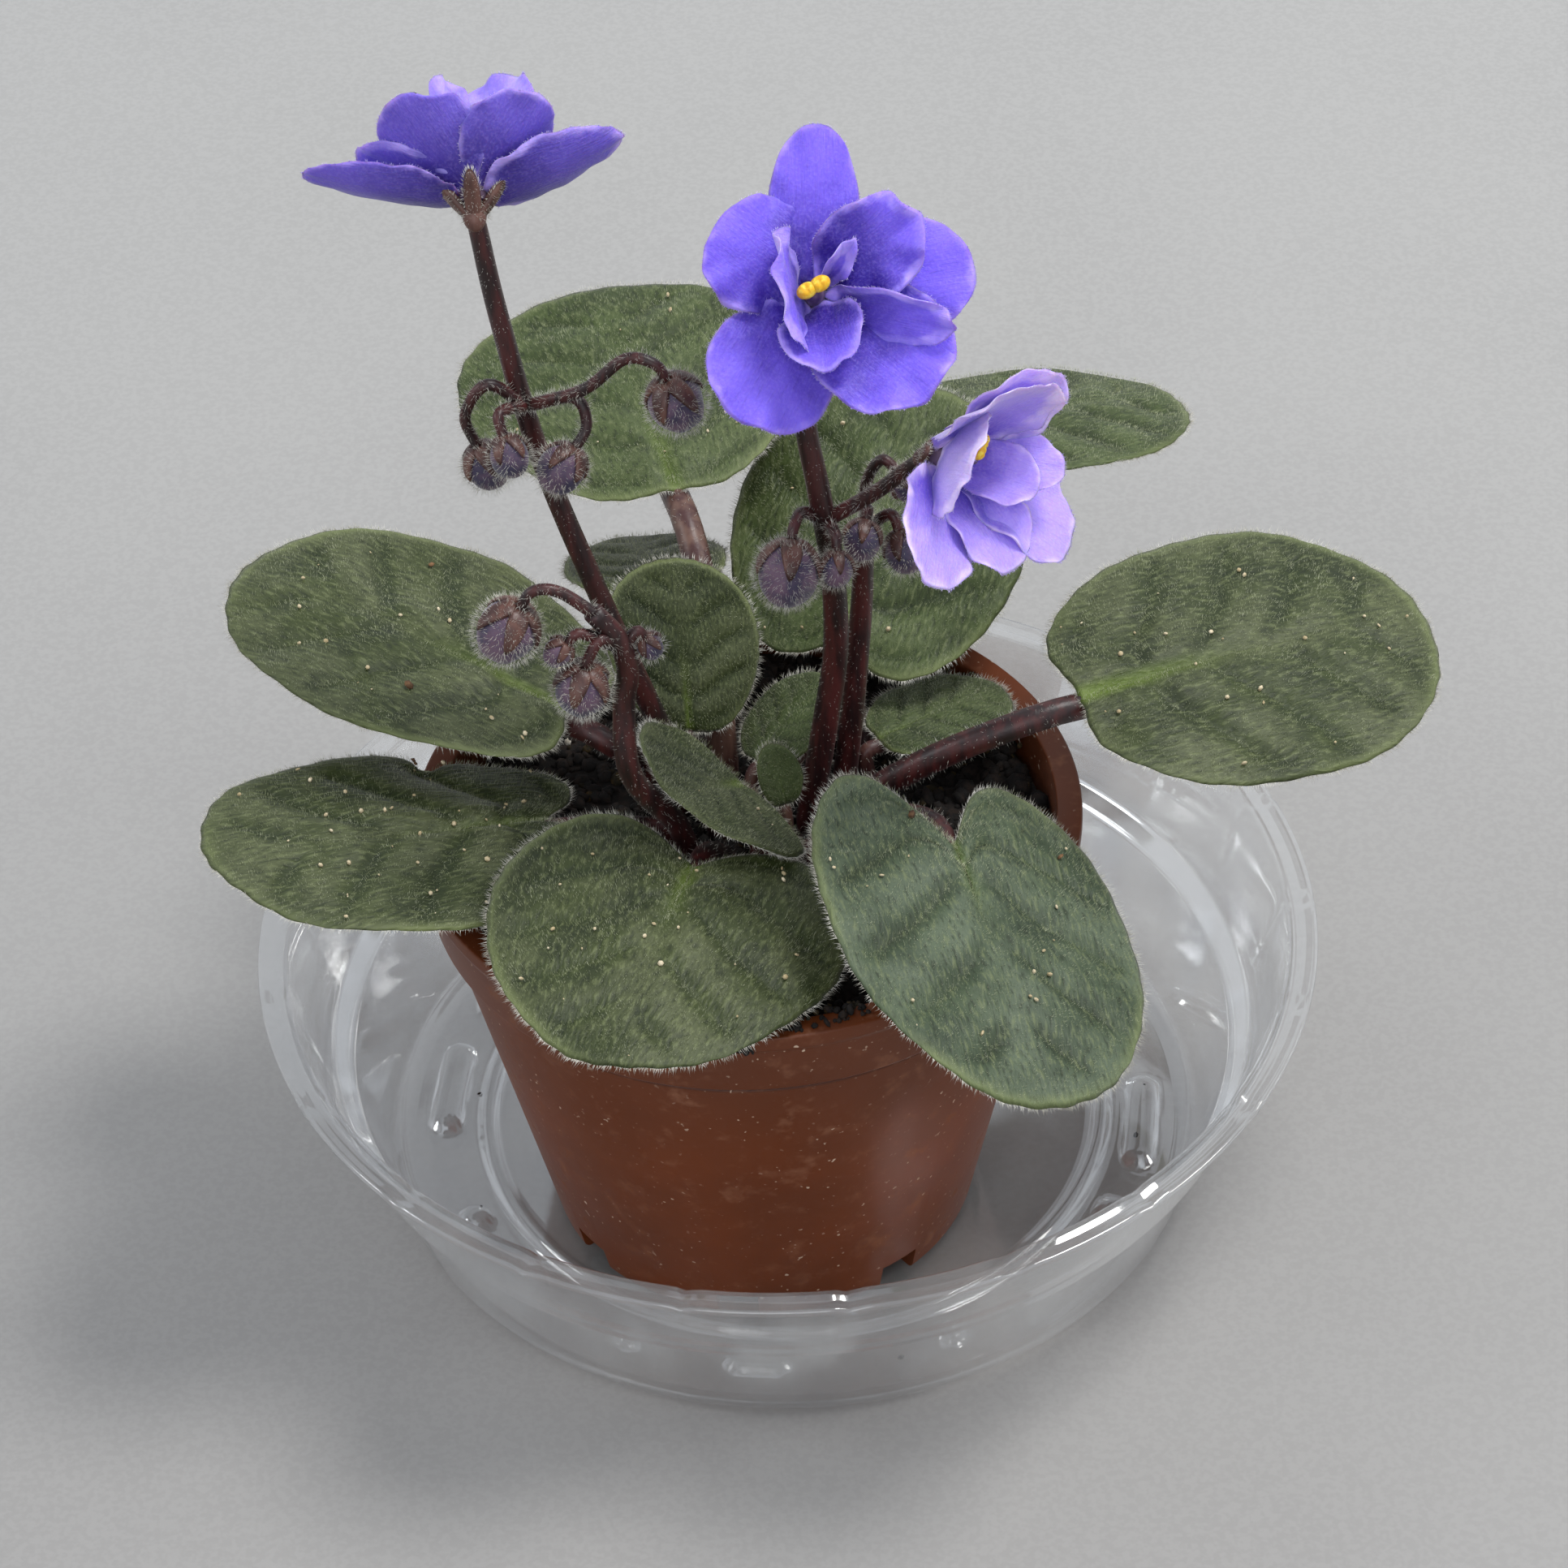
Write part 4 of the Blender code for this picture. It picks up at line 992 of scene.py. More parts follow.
# %% Bloom table
Petal = namedtuple("Petal", "turn lift height bank length width egg arch cup wave pale tone",
                   defaults=(0, 0))
Bloom = namedtuple("Bloom", "centre facing up petals")
BLOOMS = {
    "left": Bloom((-26.5, 6.8, 145.8), (-0.03, 0.74, 0.67), (0, 0.67, -0.74), [
        (181, 4, 0.2, 14, 17.6, 8.4, 0.28, -3.0, 1.5, 0.1),
        (-2, 9, 0.4, -22, 16.4, 9.8, 0.26, -3.4, 1.5, 0.1, 0.5),
        (-140, 47, 0.9, 22, 12.6, 12.2, -0.05, -0.5, 1.6, 0.2),
        (-32, 45, 1.1, -18, 12.0, 11.4, -0.05, -0.5, 1.6, 0.2),
        (122, 72, 1.2, 12, 14.6, 7.0, -0.05, -0.5, 1.0, 0.3, 2),
        (56, 64, 1.2, 6, 15.6, 11.0, -0.05, -0.5, 1.4, 0.4, 2),
        (176, 24, 1.3, 20, 12.4, 7.5, -0.10, 0.0, 0.8, 0.2, 1),
    ]),
    "top": Bloom((10.0, 0.4, 135.2), (0.0, -0.70, 0.71), (0, 0.71, 0.70), [
        (86, 8, 0.2, 4, 17.8, 10.2, 0.08, 1.0, -1.0, 0.4),
        (141, 18, 0.5, 10, 12.2, 13.6, -0.10, 0.5, -0.5, 0.4, 0, -0.4),
        (240, 14, 0.2, -12, 15.3, 14.6, -0.14, 1.0, -1.0, 0.4),
        (-43, 22, 0.6, -8, 17.2, 15.6, -0.08, 1.0, 0.8, 0.5, 0, -0.6),
        (8, 9, 0.2, -4, 16.8, 13.0, -0.12, 1.0, -0.5, 0.5),
        (32, 30, 1.4, 14, 13.6, 11.2, -0.06, 2.0, 1.0, 0.9, 0.4, -0.9),
        (-21, 24, 1.4, 40, 16.0, 6.5, -0.05, 0.8, 1.2, 0.4, 1),
        (-80, 40, 1.4, 8, 10.4, 9.4, -0.10, 0.5, 2.0, 0.3, 0.4, -0.9),
        (188, 76, 1.0, 0, 8.6, 14.0, -0.10, 0.6, 0.6, 0.5, 1.6),
        (40, 50, 1.8, 40, 7.4, 2.8, -0.08, 1.4, 0.8, 0.2, 2.5),
    ]),
    "right": Bloom((23.4, -6.4, 117.4), (0.80, -0.48, 0.36), (-0.30, 0.20, 0.93), [
        (68, 62, 0.4, -14, 16.4, 12.6, -0.12, -1.5, 1.5, 0.3, 1.2),
        (36, 58, 0.6, 4, 15.4, 12.0, -0.22, 0.2, 1.0, 0.3, 1.2, -0.4),
        (154, 50, 0.6, -30, 11.6, 13.0, 0.05, -0.6, 1.0, 0.1, 1, 0.6),
        (208, 14, 0.4, 10, 15.6, 12.0, 0.0, 0.2, 0.5, 0.3, 0.5),
        (-103, 29, 0.6, 12, 13.6, 10.6, -0.10, 0.5, 1.0, 0.4),
        (-64, 25, 0.4, -14, 18.0, 13.0, -0.22, 0.6, 1.0, 0.5),
        (-70, 60, 1.2, 2, 9.8, 8.0, -0.10, 0.2, 1.5, 0.3),
        (-40, 49, 1.0, -14, 12.6, 7.2, -0.08, 0.6, 1.0, 0.3),
    ]),
}
print("petals:", sum(len(bloom.petals) for bloom in BLOOMS.values()))


def bloom_matrix(bloom):
    facing = Vector(bloom.facing).normalized()
    up = Vector(bloom.up)
    up = (up - up.dot(facing) * facing).normalized()
    turn = Matrix((up.cross(facing), up, facing)).transposed().to_4x4()
    return Matrix.Translation(bloom.centre) @ turn


# %% [markdown]
# A bud is a folded ball in the grip of its sepals. An open flower sits in a small cup, the
# calyx, whose sepals spread behind the petals: lifted towards them on one flower, flat on another.

# %% Sprays
PATH_STEPS = 6
BUD_FOLDS = 5
BUD_STRETCH = 1.14
BUD_HAIRS = 110
SEPAL_THICKNESS = 0.45
SEPAL_START = 0.12
SEPAL_REACH = 0.78
SEPAL_COUNT = 5
CALYX_DROP = 1.7
CALYX_RADIUS = 1.5
CALYX_HAIRS = 120
CALYX_THICKNESS = 1.0
CALYX_SEPAL = Blade(6.8, 1.9, 0, 0.05, 0, -0.6, 0, 0)
CALYX_SEPALS = {"left": (44, 6.4), "top": (6, 5.0), "right": (38, 3.4)}     # lift, length


def ball(radius, place, stretch=(1, 1, 1), folds=0.0, segments=20):
    """A sphere with a few shallow folds towards its far end."""
    bm = bmesh.new()
    bmesh.ops.create_uvsphere(bm, u_segments=segments, v_segments=segments * 2 // 3, radius=radius)
    for vert in bm.verts:
        turn = math.atan2(vert.co.y, vert.co.x)
        share = 0.5 + 0.5 * vert.co.z / radius
        size = 1 + folds * share * math.cos(BUD_FOLDS * turn + 2 * share)
        vert.co = Vector((vert.co.x * size, vert.co.y * size, vert.co.z))
    bmesh.ops.scale(bm, vec=stretch, verts=bm.verts)
    bmesh.ops.transform(bm, matrix=place, verts=bm.verts)
    return keep_mesh(bm)


def gripping_sepal(radius, start):
    """A narrow sepal bent over a bud, from its stem to a little past its middle."""
    def shape(a, b):
        down = SEPAL_START + SEPAL_REACH * (a + 1)
        width = 0.34 * (1 - 0.45 * a)
        off = radius * (1.05 + 0.01 * (a + 1) ** 2)
        turn = start + width * b / np.maximum(0.35, np.sin(down))
        x, y = around(off * np.sin(down), turn)
        return np.stack([x, y, -1.10 * off * np.cos(down)], axis=1)
    return shape


def plain_marks(a, b):
    return np.stack([np.hypot(a, b), a, b], axis=1)


def ball_hairs(radius, place, count, low, high, stretch=1.1):
    way = unit(rng.normal(0, 1, (count, 3)))
    root = way * radius * np.array([1.05, 1.05, stretch])
    return hairs(moved(place, root), turned(place, way), low, high, 0.25, 1.2 * HAIR_WIDTH)


def bud_meshes(tip, direction, radius):
    ahead = direction.normalized()
    facing = ahead.to_track_quat("Z", "Y").to_matrix().to_4x4()
    place = Matrix.Translation(tip + ahead * radius * 0.9) @ facing
    meshes = [(ball(0.95 * radius, place, (1, 1, BUD_STRETCH), 0.06, 24), 1)]
    for i in range(SEPAL_COUNT):
        shape = gripping_sepal(radius * 0.95, math.tau * i / SEPAL_COUNT)
        meshes.append((sheet(shape, plain_marks, place, 8, SEPAL_THICKNESS, (2, 2)), None))
    hair_count = int(BUD_HAIRS * radius ** 2)
    return [*meshes, (ball_hairs(radius, place, hair_count, 0.4, 1.2), 3)]


def calyx_meshes(bloom):
    place = bloom_matrix(BLOOMS[bloom]) @ Matrix.Translation((0, 0, -CALYX_DROP))
    meshes = [(ball(CALYX_RADIUS, place, (0.9, 0.9, 1.3)), 2)]
    lift, length = CALYX_SEPALS[bloom]
    blade = CALYX_SEPAL._replace(length=length)

    def shape(a, b):
        return blade_form(blade, a, b)[0]

    for i in range(SEPAL_COUNT):
        seat = place @ heading_matrix((0, 0, -0.8), 360 * (i + 0.75) / SEPAL_COUNT, lift, 0)
        meshes += [(sheet(shape, plain_marks, seat, 12, CALYX_THICKNESS, (2, 2)), None),
                   (fringe(shape, seat, 9, 14, 0.3, 0.8), 3),
                   (sheet_hairs(shape, seat, 9, 9, 0.2, 0.6, -1), 3)]
    return [*meshes, (ball_hairs(CALYX_RADIUS, place, CALYX_HAIRS, 0.4, 0.9, 0.8), 3)]


def spray_piece(name, spray, blooms):
    root = Vector((*spray.stalk[0][:2], ROOT_HEIGHT))
    stalk = [root - Vector((0, 0, STEM_DEPTH)), root, *smooth_path(spray.stalk[1:], PATH_STEPS)]
    stems = [(stalk, spray.radius, spray.tip_radius, 12, 0.6)]
    meshes = []
    for points, radius in spray.buds:
        path = smooth_path(points, PATH_STEPS)
        stems.append((path, THIN_STEM, 0.8 * THIN_STEM, 28, 1.2))
        meshes += bud_meshes(path[-1], path[-1] - path[-3], radius)
    if name == BRANCHING_SPRAY:
        stems.append((smooth_path(BRANCH, PATH_STEPS), BRANCH_RADIUS, BRANCH_RADIUS, 24, 1.1))
    for bloom in blooms:
        meshes += calyx_meshes(bloom)
    for path, radius, tip_radius, per_mm, longest in stems:
        meshes.append((tube(path, radius, tip_radius), 0))
        meshes.append((tube_hairs(path, radius, tip_radius, per_mm, 0.3, longest), 3))
    assemble(name + "_hairy", meshes, [STEM, BUD, SEPAL_BROWN, HAIR], [name])


for name, spray in SPRAYS.items():
    spray_piece(name, spray, CARRIED.get(name, []))

# %% [markdown]
# A petal's finish runs from its throat colour to its margin colour, with clouds that break up the
# borders, fine veins drawn out along the petal, and a sparkle of tiny bumps whose tops carry
# painted glints in the margin colour.

# %% Petal finish
def petal_finish(name, deep, middle, margin):
    finish = Finish(name, Roughness=0.5, Sheen_Weight=0.25, Sheen_Roughness=0.4,
                    Subsurface_Weight=0.2, Subsurface_Scale=0.001, Specular_IOR_Level=0.35)
    rim, along, aside = finish.spot()
    veining = finish.noise(1.0, 3, vector=finish.drawn_along(along, aside, 3, 20))
    cloud = finish.combine("SUBTRACT", finish.noise(330, 2), 0.5)
    outward = finish.plus(finish.plus(along, 1.0), cloud)
    reach = finish.plus(rim, finish.times(cloud, 0.35))
    colour = finish.mix(finish.between(outward, 0.1, 1.6), deep, middle)
    colour = finish.mix(finish.between(veining, 0.5, 0.8, 0, 0.35), colour, deep)
    pale = finish.times(finish.between(reach, 0.88, 1.06, 0, 0.9),
                        finish.clouds(260, 0.38, 0.62, 0.3, 1))
    colour = finish.mix(pale, colour, margin)
    bumps_and_painted_glints = finish.noise(3000, 2)
    finish.emboss(finish.plus(veining, finish.times(bumps_and_painted_glints, 0.6)), 0.14, 0.8)
    # Painted glints: the tops of the tiny bumps are lightened towards the margin colour.
    return finish.done(finish.mix(finish.between(bumps_and_painted_glints, 0.40, 0.75, 0, 0.14), colour, margin))


PETAL_TONES = {
    "left": [(60, 42, 150), (118, 96, 226), (186, 164, 244)],
    "left_back": [(56, 38, 136), (102, 82, 196), (176, 156, 236)],
    "top": [(54, 30, 146), (122, 96, 234), (180, 158, 250)],
    "top_back": [(110, 88, 210), (164, 144, 240), (206, 192, 250)],
    "right": [(98, 72, 200), (176, 150, 248), (228, 210, 250)],
    "right_back": [(140, 118, 216), (190, 168, 240), (230, 214, 248)],
}
PETAL_FINISHES = {name: petal_finish("petal_" + name, *tones)
                  for name, tones in PETAL_TONES.items()}
THROAT = stem_finish("throat", (66, 46, 84), (120, 98, 120))
PETAL_FUZZ = stem_finish("petal_fuzz", (176, 158, 240), (232, 222, 252))
print("petal finishes:", ", ".join(PETAL_FINISHES))

# %% [markdown]
# A bloom is put together from a cone for its throat and then petal by petal. Each petal is laid
# flat on the throat's rim, turned to its place and lifted, with its own random frill.

# %% Blooms
PETAL_THICKNESS = 0.5
PETAL_CELLS = 34
PETAL_HAIRS = 6
PETAL_START = 1.2
THROAT_RADIUS = 1.8
THROAT_TOP_RADIUS = 0.9
THROAT_RISE = 4.8
THROAT_SINK = 0.3


def petal_shape(blade, seed):
    waves = np.random.default_rng(seed)
    phase = waves.uniform(0, math.tau, 4)
    frill = 0.014 * blade.width

    def shape(a, b):
        rho, turn = np.hypot(a, b), np.arctan2(b, a)
        lobes = np.sin(4 * turn + phase[0]) + 0.4 * np.sin(11 * turn + phase[1])
        scallop = 1 + 0.012 * rho ** 6 * lobes
        points = blade_form(blade, a * scallop, b * scallop)[0]
        points[:, 2] += frill * rho ** 5 * np.sin(9 * turn + phase[2])
        points[:, 2] += 0.6 * frill * rho ** 8 * np.sin(17 * turn + phase[3])
        points[:, 2] += 0.10 * ripple(points[:, 0], points[:, 1], 6.0, seed)
        return points

    return shape


def petal_marks(pale, tone):
    """Marks of a petal with a paler margin, or a lighter tone, than usual by some amount."""
    def marks(a, b):
        return np.stack([np.hypot(a, b) + 0.2 * pale, a + 0.5 * tone, b], axis=1)
    return marks


def bloom_piece(name, seed):
    bloom = BLOOMS[name]
    place = bloom_matrix(bloom)
    bm = bmesh.new()
    bmesh.ops.create_cone(bm, cap_ends=True, segments=20, radius1=THROAT_RADIUS,
                          radius2=THROAT_TOP_RADIUS, depth=THROAT_RISE)
    raised = Matrix.Translation((0, 0, THROAT_RISE / 2 - THROAT_SINK))
    bmesh.ops.transform(bm, matrix=place @ raised, verts=bm.verts)
    meshes = [(keep_mesh(bm), 2)]
    for i, row in enumerate(bloom.petals):
        petal = Petal(*row)
        blade = Blade(petal.length, petal.width, 0, petal.egg, 0, petal.arch, petal.cup, petal.wave)
        heading = Matrix.Rotation(math.radians(petal.turn), 4, "Z")
        start = heading @ Vector((PETAL_START, 0, petal.height))
        seat = place @ heading_matrix(start, petal.turn, petal.lift, petal.bank)
        shape = petal_shape(blade, seed + i)
        marks = petal_marks(petal.pale, petal.tone)
        round_edge = 1.5 * petal.length + petal.width
        meshes.append((sheet(shape, marks, seat, PETAL_CELLS, PETAL_THICKNESS, (0, 1)), None))
        meshes.append((fringe(shape, seat, PETAL_HAIRS, round_edge, 0.15, 0.4), 3))
    finishes = [PETAL_FINISHES[name], PETAL_FINISHES[name + "_back"], THROAT, PETAL_FUZZ]
    solid = "petals_" + name
    assemble(solid + "_frilled", meshes, finishes, [solid])


for seed, name in enumerate(BLOOMS):
    bloom_piece(name, 100 * (seed + 1))

# %% [markdown]
# ## Anthers
#
# Two yellow pollen sacs sit side by side over each throat. Each is a smooth bean: a sphere that
# is flattened, with a shallow furrow along its top where it will split.

# %% Anthers
ANTHER_RADIUS = 1.0
ANTHER_STRETCH = (1.2, 0.9, 1)
ANTHER_GAP = 0.8
ANTHER_TURN = 25
ANTHER_RISE = 0.3
ANTHER_SEATS = {"left": (0, 1), "top": (0, 1), "right": (1.2, 0.85)}       # aside, size
FURROW_DEPTH = 0.22
FURROW_WIDTH = 0.22
POLLEN = two_tone("pollen", (232, 176, 20), (252, 222, 70), (1800, 0.4, 0.7, 0, 1, 2),
                  (2500, 2, 0.08, 0.6), Roughness=0.5, Subsurface_Weight=0.2,
                  Subsurface_Scale=0.001)


def anther_piece(name, bloom, aside, size):
    turn = Matrix.Rotation(math.radians(ANTHER_TURN), 4, "Z") @ Matrix.Scale(size, 4)
    height = THROAT_RISE - THROAT_SINK + ANTHER_RISE + ANTHER_RADIUS
    place = bloom_matrix(bloom) @ Matrix.Translation((0, aside, height)) @ turn
    meshes = []
    for side in (-1, 1):
        bm = bmesh.new()
        bmesh.ops.create_uvsphere(bm, u_segments=24, v_segments=16, radius=ANTHER_RADIUS)
        for vert in bm.verts:
            depth = FURROW_DEPTH * math.exp(-(vert.co.x / FURROW_WIDTH) ** 2)
            vert.co.z -= depth * max(0.0, vert.co.z)
        bmesh.ops.scale(bm, vec=ANTHER_STRETCH, verts=bm.verts)
        shift = Matrix.Translation((side * ANTHER_GAP, 0, 0))
        bmesh.ops.transform(bm, matrix=place @ shift, verts=bm.verts)
        meshes.append((keep_mesh(bm), 0))
    assemble(name + "_sacs", meshes, [POLLEN], [name])


for name, bloom in BLOOMS.items():
    anther_piece("anthers_" + name, bloom, *ANTHER_SEATS[name])

# %% [markdown]
# ## Soil
#
# Potting mix is dark, damp and crumbly, with bits of brown fibre and a few white grains. The
# solid under it stays, in a better finish, and loose crumbs are strewn on it: each crumb starts
# as an icosphere, is stretched at random, and is dropped on the solid by a ray from above.

# %% Soil and its crumbs
SOIL_RADIUS = 35.8
SOIL_DIP = 2.5
ABOVE_SOIL = 80
SOIL_DARK = crumb_finish("soil_dark", (12, 8, 6), (38, 26, 18))
MOSS = crumb_finish("soil_moss", (34, 28, 10), (80, 60, 24))
GRIT = crumb_finish("soil_grit", (190, 182, 165), (235, 230, 218), 0.7)
soil = frame["nodes"]["soil"]
soil.data.materials.clear()
soil.data.materials.append(SOIL_DARK)
soil_surface = BVHTree.FromObject(soil, bpy.context.evaluated_depsgraph_get())


def strewn(count, low, high):
    """Crumbs that lie on the soil at random."""
    turn = rng.uniform(0, math.tau, count)
    reach = SOIL_RADIUS * np.sqrt(rng.uniform(0, 1, count))
    centres = []
    for x, y in zip(*around(reach, turn)):
        hit = soil_surface.ray_cast(Vector((x, y, ABOVE_SOIL)) * MM, Vector((0, 0, -1)))[0]
        if hit is not None and hit.z > (SOIL_TOP - SOIL_DIP) * MM:
            centres.append((x, y, hit.z / MM))
    centres = np.array(centres)
    turns, sizes = random_turns(len(centres), low, high)
    centres[:, 2] += 0.15 * sizes
    return scatter(crumb(), turns, centres)


meshes = [(strewn(2500, 0.5, 2.2), 0), (strewn(500, 0.4, 1.6), 1), (strewn(45, 0.4, 1.3), 2)]
assemble("soil_crumbs", meshes, [SOIL_DARK, MOSS, GRIT])

# %% [markdown]
# ## The pot
#
# The pot is thin brown plastic, moulded with a band under its rim and a thin groove below that.
# The finish gives it slow clouds of tone, a warmer foot, a line of painted shade in the groove,
# smears, dust and a faint satin sheen.

# %% Pot finish
POT_FOOT = 1.5


def pot_finish():
    finish = Finish("pot_plastic", Specular_IOR_Level=0.35, Sheen_Weight=0.04, Sheen_Roughness=0.3)
    height = finish.split(finish.where)["Z"]
    colour = finish.mix(finish.between(height, 0.01, 0.055), (122, 56, 15), (100, 48, 18))
    colour = finish.mix(finish.clouds(60, 0.3, 0.7, 0, 0.5), colour, (90, 42, 14))
    # Painted shade: a dark line at the height of the groove under the band.
    painted_groove_shade = finish.times(finish.between(height, 0.0503, 0.0508),
                          finish.between(height, 0.0516, 0.0522, 0.6, 0))
    colour = finish.mix(painted_groove_shade, colour, (52, 22, 10))
    smears = finish.between(finish.noise(260, 3, 0.7), 0.52, 0.75, 0, 0.30)
    colour = finish.mix(smears, colour, (170, 122, 94))
    dust = finish.times(finish.clouds(1300, 0.70, 0.76, detail=1),
                        finish.clouds(90, 0.45, 0.6, 0.15, 0.9))
    finish.emboss(finish.noise(350, 2), 0.05, 0.5)
    return finish.done(finish.mix(dust, colour, (215, 190, 165)),
                       Roughness=finish.between(smears, 0, 0.3, 0.46, 0.65))


# %% [markdown]
# Half of the pot's section is drawn as a line from the middle out and back, every corner is
# rounded, and the line is spun round the middle. Blocks then cut the drain notches.

# %% Pot
POT_RADIUS = 40.0
POT_BASE_RADIUS = 26.6
POT_HEIGHT = 60.2
POT_WALL = 1.2
POT_FLOOR = 1.6
BAND_HEIGHT = 9.4
BAND_STEP = 1.5
BAND_TAPER = 1.4
LIP_WIDTH = 3.1
GROOVE = 0.5
NOTCH_COUNT = 8
NOTCH_TURN = -54.0
NOTCH_WIDTH = 5.2
NOTCH_HEIGHT = 4.2
CORNER = 0.35
POT_STEPS = 144
POT_CREASE = 40


def rounded(profile, cut):
    """Rounds each corner of a profile with a short curve."""
    points = [Vector(p) for p in profile]
    path = [points[0]]
    for before, corner, after in zip(points, points[1:], points[2:]):
        one = corner + (before - corner).normalized() * min(cut, (before - corner).length / 2.2)
        two = corner + (after - corner).normalized() * min(cut, (after - corner).length / 2.2)
        path += [(1 - t) ** 2 * one + 2 * t * (1 - t) * corner + t * t * two
                 for t in (0, 0.25, 0.5, 0.75, 1)]
    return [*path, points[-1]]


def spun(profile, steps):
    """A closed skin: a line of radii and heights, from the axis out and back, spun round Z."""
    bm = bmesh.new()
    verts = [bm.verts.new((radius, 0, height)) for radius, height in profile]
    edges = [bm.edges.new(pair) for pair in zip(verts, verts[1:])]
    bmesh.ops.spin(bm, geom=[*verts, *edges], cent=(0, 0, 0), axis=(0, 0, 1),
                   angle=math.tau, steps=steps, use_merge=True)
    bmesh.ops.remove_doubles(bm, verts=bm.verts, dist=MERGE_DISTANCE)
    bmesh.ops.recalc_face_normals(bm, faces=bm.faces)
    return bm


def pot_profile():
    shoulder = POT_HEIGHT - BAND_HEIGHT
    under_band = POT_RADIUS - BAND_STEP - BAND_TAPER
    inner_floor = POT_BASE_RADIUS + (under_band - POT_BASE_RADIUS) * POT_FLOOR / shoulder - POT_WALL
    lip = POT_RADIUS - LIP_WIDTH
    corners = [
        (0, 0), (POT_BASE_RADIUS - 0.6, 0), (POT_BASE_RADIUS, 0.6),
        (under_band, shoulder - 1.6), (under_band - GROOVE, shoulder - 1.4),
        (under_band - GROOVE, shoulder - 0.6), (POT_RADIUS - BAND_TAPER, shoulder),
        (POT_RADIUS - 0.3, POT_HEIGHT - 2.4), (POT_RADIUS, POT_HEIGHT - 1.8),
        (POT_RADIUS, POT_HEIGHT), (lip, POT_HEIGHT), (lip, shoulder + 1.2),
        (under_band - GROOVE - 0.9, shoulder - 0.4), (inner_floor, POT_FLOOR), (0, POT_FLOOR),
    ]
    return rounded(corners, CORNER)


def notch_blocks():
    bm = bmesh.new()
    outwards = Matrix.Translation((POT_BASE_RADIUS, 0, 0))
    for i in range(NOTCH_COUNT):
        verts = bmesh.ops.create_cube(bm, size=1)["verts"]
        bmesh.ops.scale(bm, vec=(2.4 * POT_WALL + 4, NOTCH_WIDTH, 2 * NOTCH_HEIGHT), verts=verts)
        turn = Matrix.Rotation(math.radians(NOTCH_TURN - 90 + 360 * i / NOTCH_COUNT), 4, "Z")
        bmesh.ops.transform(bm, matrix=turn @ outwards, verts=verts)
    return keep_mesh(bm)


def cut_away(mesh, blocks):
    """The mesh with the blocks taken out of it."""
    holders = [add_object("cutting", part) for part in (mesh, blocks)]
    cutter = holders[0].modifiers.new("Notches", "BOOLEAN")
    cutter.operation = "DIFFERENCE"
    cutter.object = holders[1]
    graph = bpy.context.evaluated_depsgraph_get()
    result = bpy.data.meshes.new_from_object(holders[0].evaluated_get(graph))
    for holder in holders:
        bpy.data.objects.remove(holder)
    return result


pot_mesh = cut_away(keep_mesh(spun(pot_profile(), POT_STEPS)), notch_blocks())
pot_mesh.transform(Matrix.Translation((0, 0, POT_FOOT)))
assemble("brown_pot", [(pot_mesh, 0)], [pot_finish()], ["pot"], crease=POT_CREASE)

# %% [markdown]
# Watering and handling leave bits of mix on the pot's rim and in the saucer. They are scattered
# between two turns and two distances from the middle, with their sizes in millimetres.

# %% Fallen bits
SAUCER_AT = (4.2, 10.0)
SAUCER_FLOOR = 1.2


def rim_bits(count, first, last, low, high, near, far, drop):
    """Crumbs on the rim between two turns, up to drop millimetres lower than the lip."""
    turn = np.radians(rng.uniform(first, last, count))
    x, y = around(rng.uniform(near, far, count), turn)
    turns, sizes = random_turns(count, low, high)
    heights = POT_FOOT + POT_HEIGHT - drop * rng.uniform(0, 1, count) + 0.2 * sizes
    return scatter(crumb(), turns, np.stack([x, y, heights], axis=1))


def saucer_bits(count, low, high, near, far):
    """Crumbs on the saucer's floor."""
    turn = rng.uniform(-math.pi, math.pi, count)
    x, y = around(rng.uniform(near, far, count), turn)
    turns, sizes = random_turns(count, low, high)
    heights = SAUCER_FLOOR + 0.1 + 0.4 * sizes
    middles = np.stack([SAUCER_AT[0] + x, SAUCER_AT[1] + y, heights], axis=1)
    return scatter(crumb(), turns, middles)


on_lip = rim_bits(70, -104, -70, 0.3, 1.2, 36.6, 39.2, 0.0)
on_inner_edge = rim_bits(60, -92, -72, 0.3, 1.3, 36.0, 37.4, 1.5)
stuck_outside = rim_bits(40, -98, -91, 0.4, 1.2, 39.6, 40.2, 2.2)
stuck_inside = rim_bits(120, 20, 70, 0.3, 1.4, 35.6, 36.8, 4.0)
in_saucer = saucer_bits(10, 0.3, 0.8, 41, 48)
meshes = [(on_lip, 0), (on_inner_edge, 1), (stuck_outside, 0), (stuck_inside, 1), (in_saucer, 0)]
assemble("fallen_bits", meshes, [SOIL_DARK, MOSS])

# %% [markdown]
# ## The clear saucer
#
# The saucer is a thin sheet of clear plastic drawn into a dish. Its floor has one raised ring,
# long ribs and round bumps, its wall has a ledge, and its rim is turned outwards with two fine
# beads. Half of the dish's section is drawn as a line from the middle out and back, and spun
# round the middle; then the floor's upper skin is raised where the ring, ribs and bumps are.

